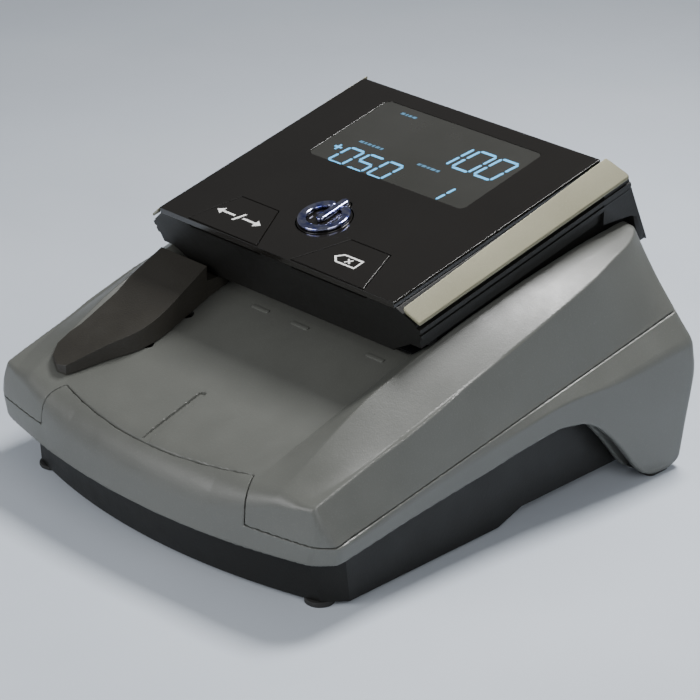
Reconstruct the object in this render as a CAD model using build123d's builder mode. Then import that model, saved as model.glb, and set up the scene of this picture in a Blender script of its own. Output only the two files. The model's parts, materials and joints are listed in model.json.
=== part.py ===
from build123d import *
import math
import os

# Counterfeit bill detector. Millimetres, +Z up, -Y is the front where the bill goes in, +X is
# the operator's right. The origin is the middle of the footprint, on the surface it stands on.

# ---- driving dimensions ------------------------------------------------------------------
FRONT_Y = -79.5          # foremost point of the lower frame
REAR_Y = 79.5            # rearmost point of the legs
WALL = 2.4               # casing wall
SEAM = 0.3               # gap between the two grey casings

TRAY_SLOPE = 0.2867      # rise of the bill tray per millimetre towards the rear
TRAY_Y0 = -68.0          # rear corner of the apron seam
TRAY_Z0 = 35.8           # tray height there
TRAY_HALF = 41.9         # half width of the tray floor
WELL_HALF = 51.8         # half width of the well that the head drops into
WELL_Y = -8.0            # front edge of the well

SEAM_Y0 = -64.5          # the side seam starts here
SEAM_Z0 = 24.8
SEAM_SLOPE = 0.183

PANEL_TILT = 12.3        # tilt of the head's top, degrees
PANEL_Y = -22.9          # front top edge of the head
PANEL_Z = 76.0
PANEL_LEN = 88.0
GLASS_HALF = 49.0
HEAD_HALF = 56.0
TRIM_DROP = 5.7          # how far the bevelled side trims fall below the glass
HEAD_LOW_HALF = 51.0     # half width of the part of the head inside the well
NOSE_HALF = 41.5
GLASS_T = 2.0

HINGE_Y = 75.4
HINGE_Z = 69.2
HINGE_PIN_R = 1.4
EAR_X = 43.0             # inner face of the hinge ears
EAR_T = 3.0

PATH_GAP = 1.3           # height of the closed bill path
PLATE_T = 2.0

ROLLER_R = 6.0
ROLLER_W = 10.0
ROLLER_X = (-30.0, 0.0, 30.0)
ROLLER_PROUD = 0.4
SHAFT_R = 2.0
IDLER_R = 5.0
RUNNING = 0.05           # radial running clearance of shafts and pins

MODULE = 0.6
FEED_TEETH = 24
MIDDLE_TEETH = 30
PINION_TEETH = 12
GEAR_X = 54.2
GEAR_W = 2.8
GEAR_BACKLASH = 0.12

BUTTON_GAP = 0.35

PLATE_SIDE_X = 48.6      # inner face of the steel side plates
SIDE_T = 1.4

# Stations along Y of the grey body: y, floor z, inner edge z, crease x, crease z,
# widest x, widest z, foot x
STATIONS = (
    (-84.0, 27.5, 27.0, 66.1, 26.5, 71.0, 20.5, 68.0),
    (-77.5, 33.0, 33.2, 66.1, 31.6, 71.6, 22.4, 68.2),
    (-66.0, 36.4, 38.2, 66.1, 35.4, 72.0, 23.8, 68.4),
    (-52.0, 40.4, 46.3, 66.1, 39.6, 71.8, 25.4, 69.0),
    (-38.0, 44.4, 53.0, 66.1, 43.7, 71.6, 27.6, 69.4),
    (-16.0, 50.7, 59.8, 66.1, 50.3, 71.7, 31.0, 70.2),
    (4.0, 56.4, 64.6, 66.1, 56.2, 72.4, 34.6, 71.0),
    (24.0, 60.0, 68.6, 66.1, 62.2, 73.8, 38.0, 72.2),
    (44.0, 62.0, 72.0, 66.0, 68.0, 76.2, 37.8, 74.0),
    (58.0, 62.0, 74.3, 64.8, 72.0, 77.6, 38.6, 75.3),
    (68.0, 62.0, 75.6, 62.0, 74.4, 78.0, 39.4, 75.8),
    (84.0, 62.0, 77.2, 58.6, 77.0, 78.2, 40.0, 75.8),
)
INNER_X = 53.3           # the shoulders' inner top edge
SEAM_X = 71.0


def tray_z(y):
    return TRAY_Z0 + TRAY_SLOPE * (y - TRAY_Y0)


def seam_z(y):
    return SEAM_Z0 + SEAM_SLOPE * (y - SEAM_Y0)


def panel_point(v, w):
    """A point (y, z) of the side view, v up the head's top face and w above it."""
    tilt = math.radians(PANEL_TILT)
    y = PANEL_Y + v * math.cos(tilt) - w * math.sin(tilt)
    z = PANEL_Z + v * math.sin(tilt) + w * math.cos(tilt)
    return (y, z)


def panel_plane(w=0.0):
    """The head's top face, raised by w, with x to the right and y up the slope."""
    y, z = panel_point(0, w)
    tilt = math.radians(PANEL_TILT)
    normal = (0, -math.sin(tilt), math.cos(tilt))
    return Plane(origin=(0, y, z), x_dir=(1, 0, 0), z_dir=normal)


def path_z(y):
    """Height of the bill path: the tray's slope, rounded off to level under the head."""
    if y <= 8.0:
        return tray_z(y)
    if y >= 32.0:
        return path_z(8.0) + TRAY_SLOPE * 12.0
    run = y - 8.0
    return path_z(8.0) + TRAY_SLOPE * (run - run * run / 48.0)


PATH_YS = (8.0, 14.0, 20.0, 26.0, 32.0)
PATH_TOP = path_z(32.0)


def side_plane(x):
    """A plane across X whose sketches are drawn as (y, z)."""
    return Plane(origin=(x, 0, 0), x_dir=(0, 1, 0), z_dir=(1, 0, 0))


# ---- the grey body's outer form -----------------------------------------------------------
def station_half(station, skin):
    y, floor, inner, crease_x, crease, wide_x, wide, foot_x = station
    drop = skin * 1.15
    return [
        (TRAY_HALF - 0.4 * skin, floor - drop),
        (INNER_X, inner - skin * 1.35),
        (crease_x - 0.75 * skin, crease - drop),
        (SEAM_X - skin, max(wide + 1.0, seam_z(y))),
        (wide_x - skin, wide),
        (foot_x - skin, -1.0),
    ]


def body_stations(skin):
    with BuildPart() as form:
        for station in STATIONS:
            half = station_half(station, skin)
            left = [(-x, z) for x, z in reversed(half)]
            with BuildSketch(Plane(origin=(0, station[0], 0), x_dir=(1, 0, 0), z_dir=(0, -1, 0))):
                with BuildLine():
                    Polyline(*half, *left, close=True)
                make_face()
        loft(ruled=True)
    return form


def plan_outline(z, front, corner_x, corner_y, side_x, side_y, skin):
    """One level of the plan: a bowed front, a rounded corner and straight sides."""
    cx = corner_x - 0.8 * skin
    cy = corner_y + 0.9 * skin
    sx = side_x + 6
    with BuildSketch(Plane.XY.offset(z)) as level:
        with BuildLine():
            ThreePointArc((-cx, cy), (0, front + skin), (cx, cy))
            Line((cx, cy), (side_x - skin, side_y + 0.6 * skin))
            Line((side_x - skin, side_y + 0.6 * skin), (sx, 90))
            Line((sx, 90), (-sx, 90))
            Line((-sx, 90), (-side_x + skin, side_y + 0.6 * skin))
            Line((-side_x + skin, side_y + 0.6 * skin), (-cx, cy))
        make_face()
    return level


def body_plan(skin):
    low = (FRONT_Y, 60.0, -69.6, 68.6, -62.0)
    high = (FRONT_Y + 0.8, 67.0, -71.2, 72.4, -66.0)
    top = (FRONT_Y + 6.0, 66.0, -66.5, 71.0, -61.0)
    levels = ((-1.0, low), (16.0, low), (25.0, high), (60.0, top), (90.0, top))
    with BuildPart() as plan:
        for below, above in zip(levels, levels[1:]):
            bottom = plan_outline(below[0], *below[1], skin)
            lid = plan_outline(above[0], *above[1], skin)
            loft(sections=(bottom.sketch, lid.sketch), ruled=True)
    return plan


def body_side(skin):
    rear = REAR_Y - skin
    with BuildPart() as side:
        with BuildSketch(side_plane(-90)):
            with BuildLine():
                Polyline((-95, -2), (rear - 6.0, -2), (rear, 44.0), (rear - 0.8, 51.0),
                         (rear - 9.0, 77.0), (rear - 12.0, 95.0), (-95, 95.0), close=True)
            make_face()
        extrude(amount=180)
    return side


def body_form(skin):
    """The whole grey body as one solid, smaller by skin all over."""
    with BuildPart() as form:
        add(body_stations(skin).part)
        add(body_plan(skin).part, mode=Mode.INTERSECT)
        add(body_side(skin).part, mode=Mode.INTERSECT)
    return form


def seam_region(gap):
    """Everything that belongs to the lower frame, pulled back from the seam by gap."""
    with BuildPart() as region:
        with BuildSketch(side_plane(-90)):
            with BuildLine():
                Polyline((-95, -5), (95, -5), (95, seam_z(95) - gap), (-95, seam_z(-95) - gap),
                         close=True)
            make_face()
        extrude(amount=180)
        with BuildSketch(Plane(origin=(0, -66, 0), x_dir=(1, 0, 0), z_dir=(0, -1, 0))):
            with BuildLine():
                Polyline((-80, 22.0 - gap), (-46, 32.2 - gap), (46, 32.2 - gap), (80, 22.0 - gap),
                         (80, 0), (-80, 0), close=True)
            make_face()
        extrude(amount=30)
        with BuildSketch(Plane.XY):
            with BuildLine():
                seam_arc = ThreePointArc((-40.2 + gap, -68.0 - gap), (0, -73.4 - gap),
                                         (40.2 - gap, -68.0 - gap))
                Polyline(seam_arc @ 1, (46.4 - gap, -77.0), (46.4 - gap, -95),
                         (-46.4 + gap, -95), (-46.4 + gap, -77.0), seam_arc @ 0)
            make_face()
        extrude(amount=60)
    return region


# ---- small helpers ------------------------------------------------------------------------
def tray_plane(y=TRAY_Y0):
    """The tray floor, x to the right and y up the slope."""
    tilt = math.atan(TRAY_SLOPE)
    normal = (0, -math.sin(tilt), math.cos(tilt))
    return Plane(origin=(0, y, tray_z(y)), x_dir=(1, 0, 0), z_dir=normal)


def side_slab(points, x0, x1):
    """A slab between x0 and x1 whose side view is the polygon of (y, z) points."""
    with BuildPart() as slab:
        with BuildSketch(side_plane(x0)):
            with BuildLine():
                Polyline(*points, close=True)
            make_face()
        extrude(amount=x1 - x0)
    return slab


def block(x0, x1, y0, y1, z0, z1):
    with BuildPart() as solid:
        with BuildSketch(Plane.XY.offset(z0)):
            with Locations(((x0 + x1) / 2, (y0 + y1) / 2)):
                Rectangle(x1 - x0, y1 - y0)
        extrude(amount=z1 - z0)
    return solid


def bar(y, z, radius, x0, x1, bore=0.0):
    """A round bar or tube along X."""
    with BuildPart() as solid:
        with BuildSketch(side_plane(x0)):
            with Locations((y, z)):
                Circle(radius)
                if bore:
                    Circle(bore, mode=Mode.SUBTRACT)
        extrude(amount=x1 - x0)
    return solid


def path_profile(lift, y0, y1):
    """Side-view points along the bill path, raised by lift, from y0 to y1."""
    ys = [y0] + [y for y in PATH_YS if y0 < y < y1] + [y1]
    return [(y, path_z(y) + lift) for y in ys]


# ---- positions worked out from the driving dimensions --------------------------------------
TILT = math.atan(TRAY_SLOPE)
FEED_Y = 6.0 + math.sin(TILT) * (ROLLER_R - ROLLER_PROUD)
FEED_Z = path_z(6.0) - math.cos(TILT) * (ROLLER_R - ROLLER_PROUD)
REAR_FEED_Y = 54.0
REAR_FEED_Z = PATH_TOP - (ROLLER_R - ROLLER_PROUD)
NIP = 2 * ROLLER_PROUD
PRESS_Y = 6.0 - math.sin(TILT) * (IDLER_R + NIP)
PRESS_Z = path_z(6.0) + math.cos(TILT) * (IDLER_R + NIP)
REAR_PRESS_Z = PATH_TOP + IDLER_R + NIP
MIDDLE_Y = FEED_Y - 6.0
MIDDLE_Z = FEED_Z - math.sqrt((MODULE * (FEED_TEETH + MIDDLE_TEETH) / 2) ** 2 - 36.0)
MOTOR_Y = MIDDLE_Y + 10.0
MOTOR_Z = MIDDLE_Z - math.sqrt((MODULE * (MIDDLE_TEETH + PINION_TEETH) / 2) ** 2 - 100.0)
WINDOW_Y = (34.0, 44.0)
SOCKET_X = -42.0
SOCKET_Z = 22.0
PORT_X = -18.0
BOSSES = ((-58.0, -52.0), (58.0, -52.0), (-61.0, 30.0), (61.0, 30.0))
FEET = ((-57.6, -60.2), (57.6, -60.2))
BASE_Z = 1.5
BASE_REAR_Z = 4.8
BASE_FLOOR_Z = 7.0
PANEL_Y0 = 64.0          # front face of the rear panel
LEG_INNER_X = 66.3


# ---- base: grey casings --------------------------------------------------------------------
def well_walls():
    """Upright walls each side of the well, down to the edge of the bill path."""
    ys = [WELL_Y, 8.0, 20.0, 32.0, 70.0]
    low = [(y, path_z(y) - 1.4) for y in ys]
    with BuildPart() as walls:
        add(side_slab(low + [(70.0, 90.0), (WELL_Y, 90.0)], WELL_HALF, WELL_HALF + 2.0).part)
        mirror(about=Plane.YZ)
    return walls


def shell_bosses():
    with BuildPart() as bosses:
        with BuildSketch(Plane.XY.offset(30.0)):
            with Locations(*BOSSES):
                Circle(2.3)
                Circle(1.05, mode=Mode.SUBTRACT)
        extrude(amount=40)
    return bosses


def make_upper_shell(outer, inner):
    with BuildPart() as extras:
        add(well_walls().part)
        add(shell_bosses().part)
        add(outer.part, mode=Mode.INTERSECT)
    with BuildPart() as upper_shell:
        add(outer.part)
        add(inner.part, mode=Mode.SUBTRACT)
        add(seam_region(0).part, mode=Mode.SUBTRACT)
        add(block(-WELL_HALF, WELL_HALF, WELL_Y, 95, 20, 95).part, mode=Mode.SUBTRACT)
        add(extras.part)
        # shallow groove down the middle of the tray
        with BuildSketch(tray_plane(-62.0)):
            SlotOverall(25.0, 2.5, rotation=90)
        extrude(amount=-0.7, mode=Mode.SUBTRACT)
        # cross slots that the bill guide's pegs run in
        with BuildSketch(tray_plane(-35.0)):
            with Locations((-36.6, -8.3), (-36.6, 8.3)):
                SlotOverall(11.6, 3.2)
        extrude(amount=8, both=True, mode=Mode.SUBTRACT)
        # low ribs that lift a bill's edge into the slot
        with BuildSketch(tray_plane(-14.5).offset(-0.4)):
            with Locations((-14.3, 0), (2.5, 0), (33.4, 0)):
                SlotOverall(7.0, 1.4)
        extrude(amount=0.75)
    return upper_shell


def arch_cut():
    """Everything below the lower frame's bottom edge, with the arch in front of each leg."""
    with BuildPart() as cut:
        with BuildSketch(side_plane(-90)):
            with BuildLine():
                edge = Polyline((-95, 16.0), (-78, 16.6), (-66, 18.4), (-40, 21.9), (-9, 25.4),
                                (10, 28.4))
                arch = Spline((10, 28.4), (21, 29.9), (31, 28.5), (39, 23.6), (46, 16.2),
                              (52.5, 7.0), (58.5, 1.6), tangents=((1, 0.16), (1, -0.25)))
                Polyline(arch @ 1, (64.0, 1.2), (69.0, 1.2), (74.0, 3.6), (95, 3.6), (95, -9),
                         (-95, -9), edge @ 0)
            make_face()
        extrude(amount=180)
    return cut


def make_bumper_frame(outer, inner):
    with BuildPart() as cheeks:
        add(block(LEG_INNER_X, LEG_INNER_X + 1.8, 40, 90, 0, 46).part)
        add(block(LEG_INNER_X, 80, 56, 90, 0, 3.4).part)
        mirror(about=Plane.YZ)
        add(outer.part, mode=Mode.INTERSECT)
    with BuildPart() as bumper_frame:
        add(outer.part)
        add(inner.part, mode=Mode.SUBTRACT)
        add(block(-LEG_INNER_X, LEG_INNER_X, 20, 95, -5, 95).part, mode=Mode.SUBTRACT)
        add(cheeks.part)
        add(seam_region(SEAM).part, mode=Mode.INTERSECT)
        add(arch_cut().part, mode=Mode.SUBTRACT)
    return bumper_frame


# ---- base: black tub and panels ------------------------------------------------------------
def tub_outline(z, front, corner_x, corner_y, side_y, skin):
    cx = corner_x - skin
    side = 65.6 - skin
    with BuildSketch(Plane.XY.offset(z)) as level:
        with BuildLine():
            ThreePointArc((-cx, corner_y + skin), (0, front + skin), (cx, corner_y + skin))
            Line((cx, corner_y + skin), (side, side_y + 0.6 * skin))
            Line((side, side_y + 0.6 * skin), (side, PANEL_Y0 + 2.2))
            Line((side, PANEL_Y0 + 2.2), (-side, PANEL_Y0 + 2.2))
            Line((-side, PANEL_Y0 + 2.2), (-side, side_y + 0.6 * skin))
            Line((-side, side_y + 0.6 * skin), (-cx, corner_y + skin))
        make_face()
    return level


def tub_form(skin, z0):
    low = (-71.8, 60.5, -62.6, -56.5)
    high = (-76.1, 57.2, -66.2, -58.4)
    with BuildPart() as form:
        bottom = tub_outline(z0, *low, skin)
        middle = tub_outline(18.0, *high, skin)
        top = tub_outline(50.0, *high, skin)
        loft(sections=(bottom.sketch, middle.sketch), ruled=True)
        loft(sections=(middle.sketch, top.sketch), ruled=True)
    return form


def make_base_casing():
    rim = side_slab(((-80, 22.0), (-40, 27.0), (10, 34.0), (70, 44.0), (70, 60), (-80, 60)), -70, 70)
    step = side_slab(((4, -2), (4, BASE_Z), (14, BASE_REAR_Z), (70, BASE_REAR_Z), (70, -2)), -70, 70)
    hollow = side_slab(((-80, BASE_Z + 2), (3, BASE_Z + 2), (14, BASE_FLOOR_Z), (70, BASE_FLOOR_Z),
                        (70, 60), (-80, 60)), -70, 70)
    with BuildPart() as cavity:
        add(tub_form(2.2, BASE_Z).part)
        add(hollow.part, mode=Mode.INTERSECT)
        add(block(-63.4, 63.4, PANEL_Y0, 70, BASE_FLOOR_Z, 60).part)
    with BuildPart() as base_casing:
        add(tub_form(0, BASE_Z).part)
        add(cavity.part, mode=Mode.SUBTRACT)
        add(rim.part, mode=Mode.SUBTRACT)
        # screw bosses
        with BuildSketch(Plane.XY.offset(2.0)):
            with Locations(*BOSSES):
                Circle(3.4)
        extrude(amount=27.8)
        add(step.part, mode=Mode.SUBTRACT)
        with BuildSketch(Plane.XY):
            with Locations(*BOSSES):
                Circle(1.3)
        extrude(amount=40, mode=Mode.SUBTRACT)
        with BuildSketch(Plane.XY):
            with Locations(*BOSSES):
                Circle(2.9)
        extrude(amount=9.0, mode=Mode.SUBTRACT)
        # battery opening and its ledge
        with BuildSketch(Plane.XY):
            with Locations((0, 41)):
                Rectangle(66, 30)
        extrude(amount=9, mode=Mode.SUBTRACT)
        with BuildSketch(Plane.XY):
            with Locations((0, 41)):
                Rectangle(74.6, 34.6)
        extrude(amount=BASE_REAR_Z + 1.2, mode=Mode.SUBTRACT)
        with BuildSketch(Plane.XY):
            with Locations((-35.2, 41), (35.2, 41)):
                Circle(1.0)
        extrude(amount=12, mode=Mode.SUBTRACT)
        # posts that carry the circuit board
        with BuildSketch(Plane.XY.offset(BASE_Z + 1)):
            with Locations((-40, -42), (40, -42), (-40, -4), (40, -4)):
                Circle(2.5)
        extrude(amount=6.5)
        add(underside_vents().part, mode=Mode.SUBTRACT)
    return base_casing


def underside_vents():
    """Cooling slots in the underside."""
    with BuildPart() as vents:
        with BuildSketch(Plane.XY.offset(-1)):
            with GridLocations(6.0, 1, 6, 1):
                with Locations((0, -24)):
                    SlotOverall(22, 2.4, rotation=90)
        extrude(amount=6)
    return vents


def make_rear_panel():
    top = PATH_TOP - 4.6
    with BuildPart() as rear_panel:
        add(block(-63.2, 63.2, PANEL_Y0 + 0.1, PANEL_Y0 + 2.2, BASE_FLOOR_Z + 0.2, top).part)
        with BuildSketch(Plane(origin=(0, PANEL_Y0 - 1, 0), x_dir=(1, 0, 0), z_dir=(0, -1, 0))):
            with Locations((SOCKET_X, SOCKET_Z)):
                Circle(4.1)
            with Locations((PORT_X, SOCKET_Z)):
                Rectangle(9.4, 5.0)
            with Locations((30, 34)):
                with GridLocations(5.0, 1, 9, 1):
                    SlotOverall(16, 2.0, rotation=90)
        extrude(amount=-5, mode=Mode.SUBTRACT)
    return rear_panel


def make_dc_socket():
    y = PANEL_Y0
    with BuildPart() as dc_socket:
        add(block(SOCKET_X - 4.6, SOCKET_X + 4.6, y - 11.5, y, SOCKET_Z - 5.4, SOCKET_Z + 5.4).part)
        with BuildSketch(Plane(origin=(0, y, 0), x_dir=(1, 0, 0), z_dir=(0, -1, 0))):
            with Locations((SOCKET_X, SOCKET_Z)):
                Circle(4.0)
        extrude(amount=-2.2)
        with BuildSketch(Plane(origin=(0, y + 2.2, 0), x_dir=(1, 0, 0), z_dir=(0, -1, 0))):
            with Locations((SOCKET_X, SOCKET_Z)):
                Circle(2.8)
        extrude(amount=9.5, mode=Mode.SUBTRACT)
    return dc_socket


def make_dc_socket_pin():
    with BuildPart() as dc_socket_pin:
        with BuildSketch(Plane(origin=(0, PANEL_Y0 - 7.3, 0), x_dir=(1, 0, 0), z_dir=(0, -1, 0))):
            with Locations((SOCKET_X, SOCKET_Z)):
                Circle(1.0)
        extrude(amount=-8.0)
    return dc_socket_pin


def make_update_port():
    y = PANEL_Y0
    with BuildPart() as update_port:
        add(block(PORT_X - 4.5, PORT_X + 4.5, y - 5.4, y + 1.6, SOCKET_Z - 2.3, SOCKET_Z + 2.3).part)
        add(block(PORT_X - 3.9, PORT_X + 3.9, y - 4.4, y + 2, SOCKET_Z - 1.7, SOCKET_Z + 1.7).part,
            mode=Mode.SUBTRACT)
    return update_port


def make_front_feet():
    with BuildPart() as front_feet:
        with BuildSketch(Plane.XY):
            with Locations(*FEET):
                Circle(4.4)
        extrude(amount=BASE_Z)
        chamfer(front_feet.faces().sort_by(Axis.Z)[0].edges(), length=0.5)
        chamfer(front_feet.faces().sort_by(Axis.Z)[0].edges(), length=0.5)
    return front_feet


def make_rear_feet():
    with BuildPart() as rear_feet:
        with BuildSketch(Plane.XY):
            with Locations((-71.6, 66.0), (71.6, 66.0)):
                RectangleRounded(6.0, 9.0, 2.0)
        extrude(amount=1.2)
    return rear_feet


def make_casing_screws():
    with BuildPart() as casing_screws:
        with BuildSketch(Plane.XY.offset(8.9)):
            with Locations(*BOSSES):
                Circle(1.0)
        extrude(amount=24)
        with BuildSketch(Plane.XY.offset(7.0)):
            with Locations(*BOSSES):
                Circle(2.4)
        extrude(amount=2.0)
        with BuildSketch(Plane.XY.offset(7.0)):
            with Locations(*BOSSES):
                Rectangle(3.0, 0.6)
                Rectangle(0.6, 3.0)
        extrude(amount=0.9, mode=Mode.SUBTRACT)
    return casing_screws


def make_battery_door():
    with BuildPart() as battery_door:
        with BuildSketch(Plane.XY.offset(BASE_REAR_Z - 0.2)):
            with Locations((0, 41)):
                RectangleRounded(74.0, 34.0, 1.5)
            with Locations((-35.2, 41), (35.2, 41)):
                Circle(1.3, mode=Mode.SUBTRACT)
        extrude(amount=1.3)
        with BuildSketch(Plane.XY.offset(BASE_REAR_Z - 0.2)):
            with Locations((0, 30)):
                with GridLocations(1, 2.2, 1, 4):
                    SlotOverall(18, 1.1)
        extrude(amount=0.5, mode=Mode.SUBTRACT)
    return battery_door


def make_battery_door_screws():
    with BuildPart() as battery_door_screws:
        with BuildSketch(Plane.XY.offset(BASE_REAR_Z - 1.2)):
            with Locations((-35.2, 41), (35.2, 41)):
                Circle(1.7)
        extrude(amount=1.0)
        with BuildSketch(Plane.XY.offset(BASE_REAR_Z - 0.2)):
            with Locations((-35.2, 41), (35.2, 41)):
                Circle(1.0)
        extrude(amount=3.6)
    return battery_door_screws


def make_battery_pack():
    with BuildPart() as battery_pack:
        with BuildSketch(side_plane(-31.5)):
            with Locations((31.4, 15.2), (49.2, 15.2)):
                Circle(9.0)
            with Locations((40.3, 15.2)):
                Rectangle(17.8, 17.0)
        extrude(amount=63)
    return battery_pack


# ---- base: electronics ---------------------------------------------------------------------
def make_main_board():
    with BuildPart() as main_board:
        add(block(-46, 46, -48, 2, 9.1, 10.7).part)
        with BuildSketch(Plane.XY.offset(9)):
            with Locations((-40, -42), (40, -42), (-40, -4), (40, -4)):
                Circle(1.2)
        extrude(amount=3, mode=Mode.SUBTRACT)
    return main_board


def make_board_components():
    z = 10.7
    with BuildPart() as board_components:
        add(block(-14, 2, -34, -18, z, z + 1.6).part)
        add(block(12, 22, -38, -31, z, z + 1.2).part)
        add(block(-36, -26, -40, -30, z, z + 6.0).part)
        add(block(26, 34, -20, -8, z, z + 2.4).part)
        with BuildSketch(Plane.XY.offset(z)):
            with Locations((-34, -14), (-24, -12), (14, -16)):
                Circle(3.2)
        extrude(amount=9)
    return board_components


def make_board_screws():
    spots = ((-40, -42), (40, -42), (-40, -4), (40, -4))
    with BuildPart() as board_screws:
        with BuildSketch(Plane.XY.offset(10.7)):
            with Locations(*spots):
                Circle(2.2)
        extrude(amount=1.4)
    return board_screws


# ---- base: bill path and feed --------------------------------------------------------------
def roller_windows(lift_low, lift_high, radius, depth_x):
    """Slots for the rollers in a cover along the bill path."""
    with BuildPart() as windows:
        for x in ROLLER_X:
            half = ROLLER_W / 2 + depth_x
            add(block(x - half, x + half, 6 - radius, 6 + radius, lift_low, lift_high).part)
            add(block(x - half, x + half, REAR_FEED_Y - radius, REAR_FEED_Y + radius,
                      lift_low, lift_high).part)
    return windows


def make_path_plate():
    low = [(y, z) for y, z in path_profile(-PLATE_T, WELL_Y + 0.3, 68.0)]
    high = path_profile(0, WELL_Y + 0.3, 68.0)
    half = WELL_HALF - 0.3
    with BuildPart() as path_plate:
        add(side_slab(high + low[::-1], -half, half).part)
        add(roller_windows(40, 70, 5.4, 0.8).part, mode=Mode.SUBTRACT)
        add(block(-43.0, 43.0, *WINDOW_Y, 50, 70).part, mode=Mode.SUBTRACT)
    return path_plate


def make_lower_sensor_bar():
    y0, y1 = WINDOW_Y
    top = PATH_TOP
    with BuildPart() as lower_sensor_bar:
        add(block(-42.6, 42.6, y0 + 0.3, y1 - 0.3, top - 9.0, top - 1.2).part)
        add(block(-40.0, 40.0, y0 + 2.0, y1 - 2.0, top - 7.0, top).part, mode=Mode.SUBTRACT)
    return lower_sensor_bar


def make_lower_sensor_glass():
    y0, y1 = WINDOW_Y
    with BuildPart() as lower_sensor_glass:
        add(block(-42.6, 42.6, y0 + 0.3, y1 - 0.3, PATH_TOP - 1.2, PATH_TOP - 0.1).part)
    return lower_sensor_glass


def plate_outline():
    """Side view of a steel side plate, under the path plate."""
    under = path_profile(-PLATE_T - 0.2, -4.0, 61.0)
    return under + [(61.0, 30.0), (24.0, 12.4), (-4.0, 12.4)]


def make_side_plate(x0):
    right = x0 > 0
    with BuildPart() as side_plate:
        add(side_slab(plate_outline(), x0, x0 + SIDE_T).part)
        with BuildSketch(side_plane(x0)):
            with Locations((FEED_Y, FEED_Z), (REAR_FEED_Y, REAR_FEED_Z)):
                Circle(3.5)
            if right:
                with Locations((MOTOR_Y, MOTOR_Z)):
                    Circle(3.0)
                with Locations((MIDDLE_Y, MIDDLE_Z)):
                    Circle(1.5)
            with Locations((20.0, 42.0), (38.0, 44.0)):
                Circle(5.0)
        extrude(amount=SIDE_T, mode=Mode.SUBTRACT)
    return side_plate


def make_shaft_bushes():
    with BuildPart() as shaft_bushes:
        for x0 in (-PLATE_SIDE_X - SIDE_T - 0.4, PLATE_SIDE_X - 0.4):
            for y, z in ((FEED_Y, FEED_Z), (REAR_FEED_Y, REAR_FEED_Z)):
                add(bar(y, z, 3.5, x0, x0 + SIDE_T + 0.8, SHAFT_R + RUNNING).part)
    return shaft_bushes


def make_shaft(y, z, x0, x1):
    return bar(y, z, SHAFT_R, x0, x1)


def make_rollers(y, z, radius):
    with BuildPart() as rollers:
        for x in ROLLER_X:
            add(bar(y, z, radius, x - ROLLER_W / 2, x + ROLLER_W / 2, SHAFT_R).part)
    return rollers


def involute_tooth(teeth, centre_angle):
    """Half-flank points of one involute tooth, from root to tip, both sides, as (y, z)."""
    pitch_r = MODULE * teeth / 2
    base_r = pitch_r * math.cos(math.radians(20))
    tip_r = pitch_r + MODULE
    root_r = pitch_r - 1.25 * MODULE
    inv20 = math.tan(math.radians(20)) - math.radians(20)
    half_angle = math.pi / (2 * teeth) - GEAR_BACKLASH / (2 * pitch_r)
    flank = []
    start = max(base_r, root_r)
    for step in range(5):
        r = start + (tip_r - start) * step / 4
        phi = math.acos(min(1.0, base_r / r))
        flank.append((r, half_angle + inv20 - (math.tan(phi) - phi)))
    if root_r < base_r:
        flank.insert(0, (root_r, flank[0][1]))
    right = [(r, centre_angle - a) for r, a in flank]
    left = [(r, centre_angle + a) for r, a in reversed(flank)]
    return [(r * math.cos(a), r * math.sin(a)) for r, a in right + left]


def make_gear(y, z, teeth, phase, x0, bore):
    """A spur gear along X with a tooth centred at the angle phase."""
    points = []
    for index in range(teeth):
        tooth = involute_tooth(teeth, phase + 2 * math.pi * index / teeth)
        points += [(y + py, z + pz) for py, pz in tooth]
    with BuildPart() as gear:
        with BuildSketch(side_plane(x0)):
            with BuildLine():
                Polyline(*points, close=True)
            make_face()
            with Locations((y, z)):
                Circle(bore, mode=Mode.SUBTRACT)
        extrude(amount=GEAR_W)
    return gear


FEED_TO_MIDDLE = math.atan2(MIDDLE_Z - FEED_Z, MIDDLE_Y - FEED_Y)
MIDDLE_PHASE = FEED_TO_MIDDLE + math.pi + math.pi / MIDDLE_TEETH
MIDDLE_TO_MOTOR = math.atan2(MOTOR_Z - MIDDLE_Z, MOTOR_Y - MIDDLE_Y)


def pinion_phase():
    """The pinion's phase that puts one of its gaps on the middle gear's nearest tooth."""
    pitch = 2 * math.pi / MIDDLE_TEETH
    off = (MIDDLE_PHASE - MIDDLE_TO_MOTOR) % pitch
    gap = MIDDLE_TO_MOTOR + math.pi - off * MIDDLE_TEETH / PINION_TEETH
    return gap + math.pi / PINION_TEETH


PULLEY_X = -58.0
PULLEY_R = 5.0
BELT_T = 1.0


def make_pulley(y, z):
    with BuildPart() as pulley:
        add(bar(y, z, PULLEY_R, PULLEY_X, PULLEY_X + 3.6, SHAFT_R).part)
        add(bar(y, z, PULLEY_R + 1.2, PULLEY_X - 0.6, PULLEY_X, SHAFT_R).part)
        add(bar(y, z, PULLEY_R + 1.2, PULLEY_X + 3.6, PULLEY_X + 4.2, SHAFT_R).part)
    return pulley


def make_drive_belt():
    """A flat loop round the two pulleys."""
    dy = REAR_FEED_Y - FEED_Y
    dz = REAR_FEED_Z - FEED_Z
    length = math.hypot(dy, dz)
    middle = (FEED_Y + dy / 2, FEED_Z + dz / 2)
    gap = 0.06
    with BuildPart() as drive_belt:
        with BuildSketch(side_plane(PULLEY_X + 0.3)):
            with Locations(Location((*middle, 0), math.degrees(math.atan2(dz, dy)))):
                SlotCenterToCenter(length, 2 * (PULLEY_R + gap + BELT_T))
                SlotCenterToCenter(length, 2 * (PULLEY_R + gap), mode=Mode.SUBTRACT)
        extrude(amount=3.0)
    return drive_belt


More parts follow.
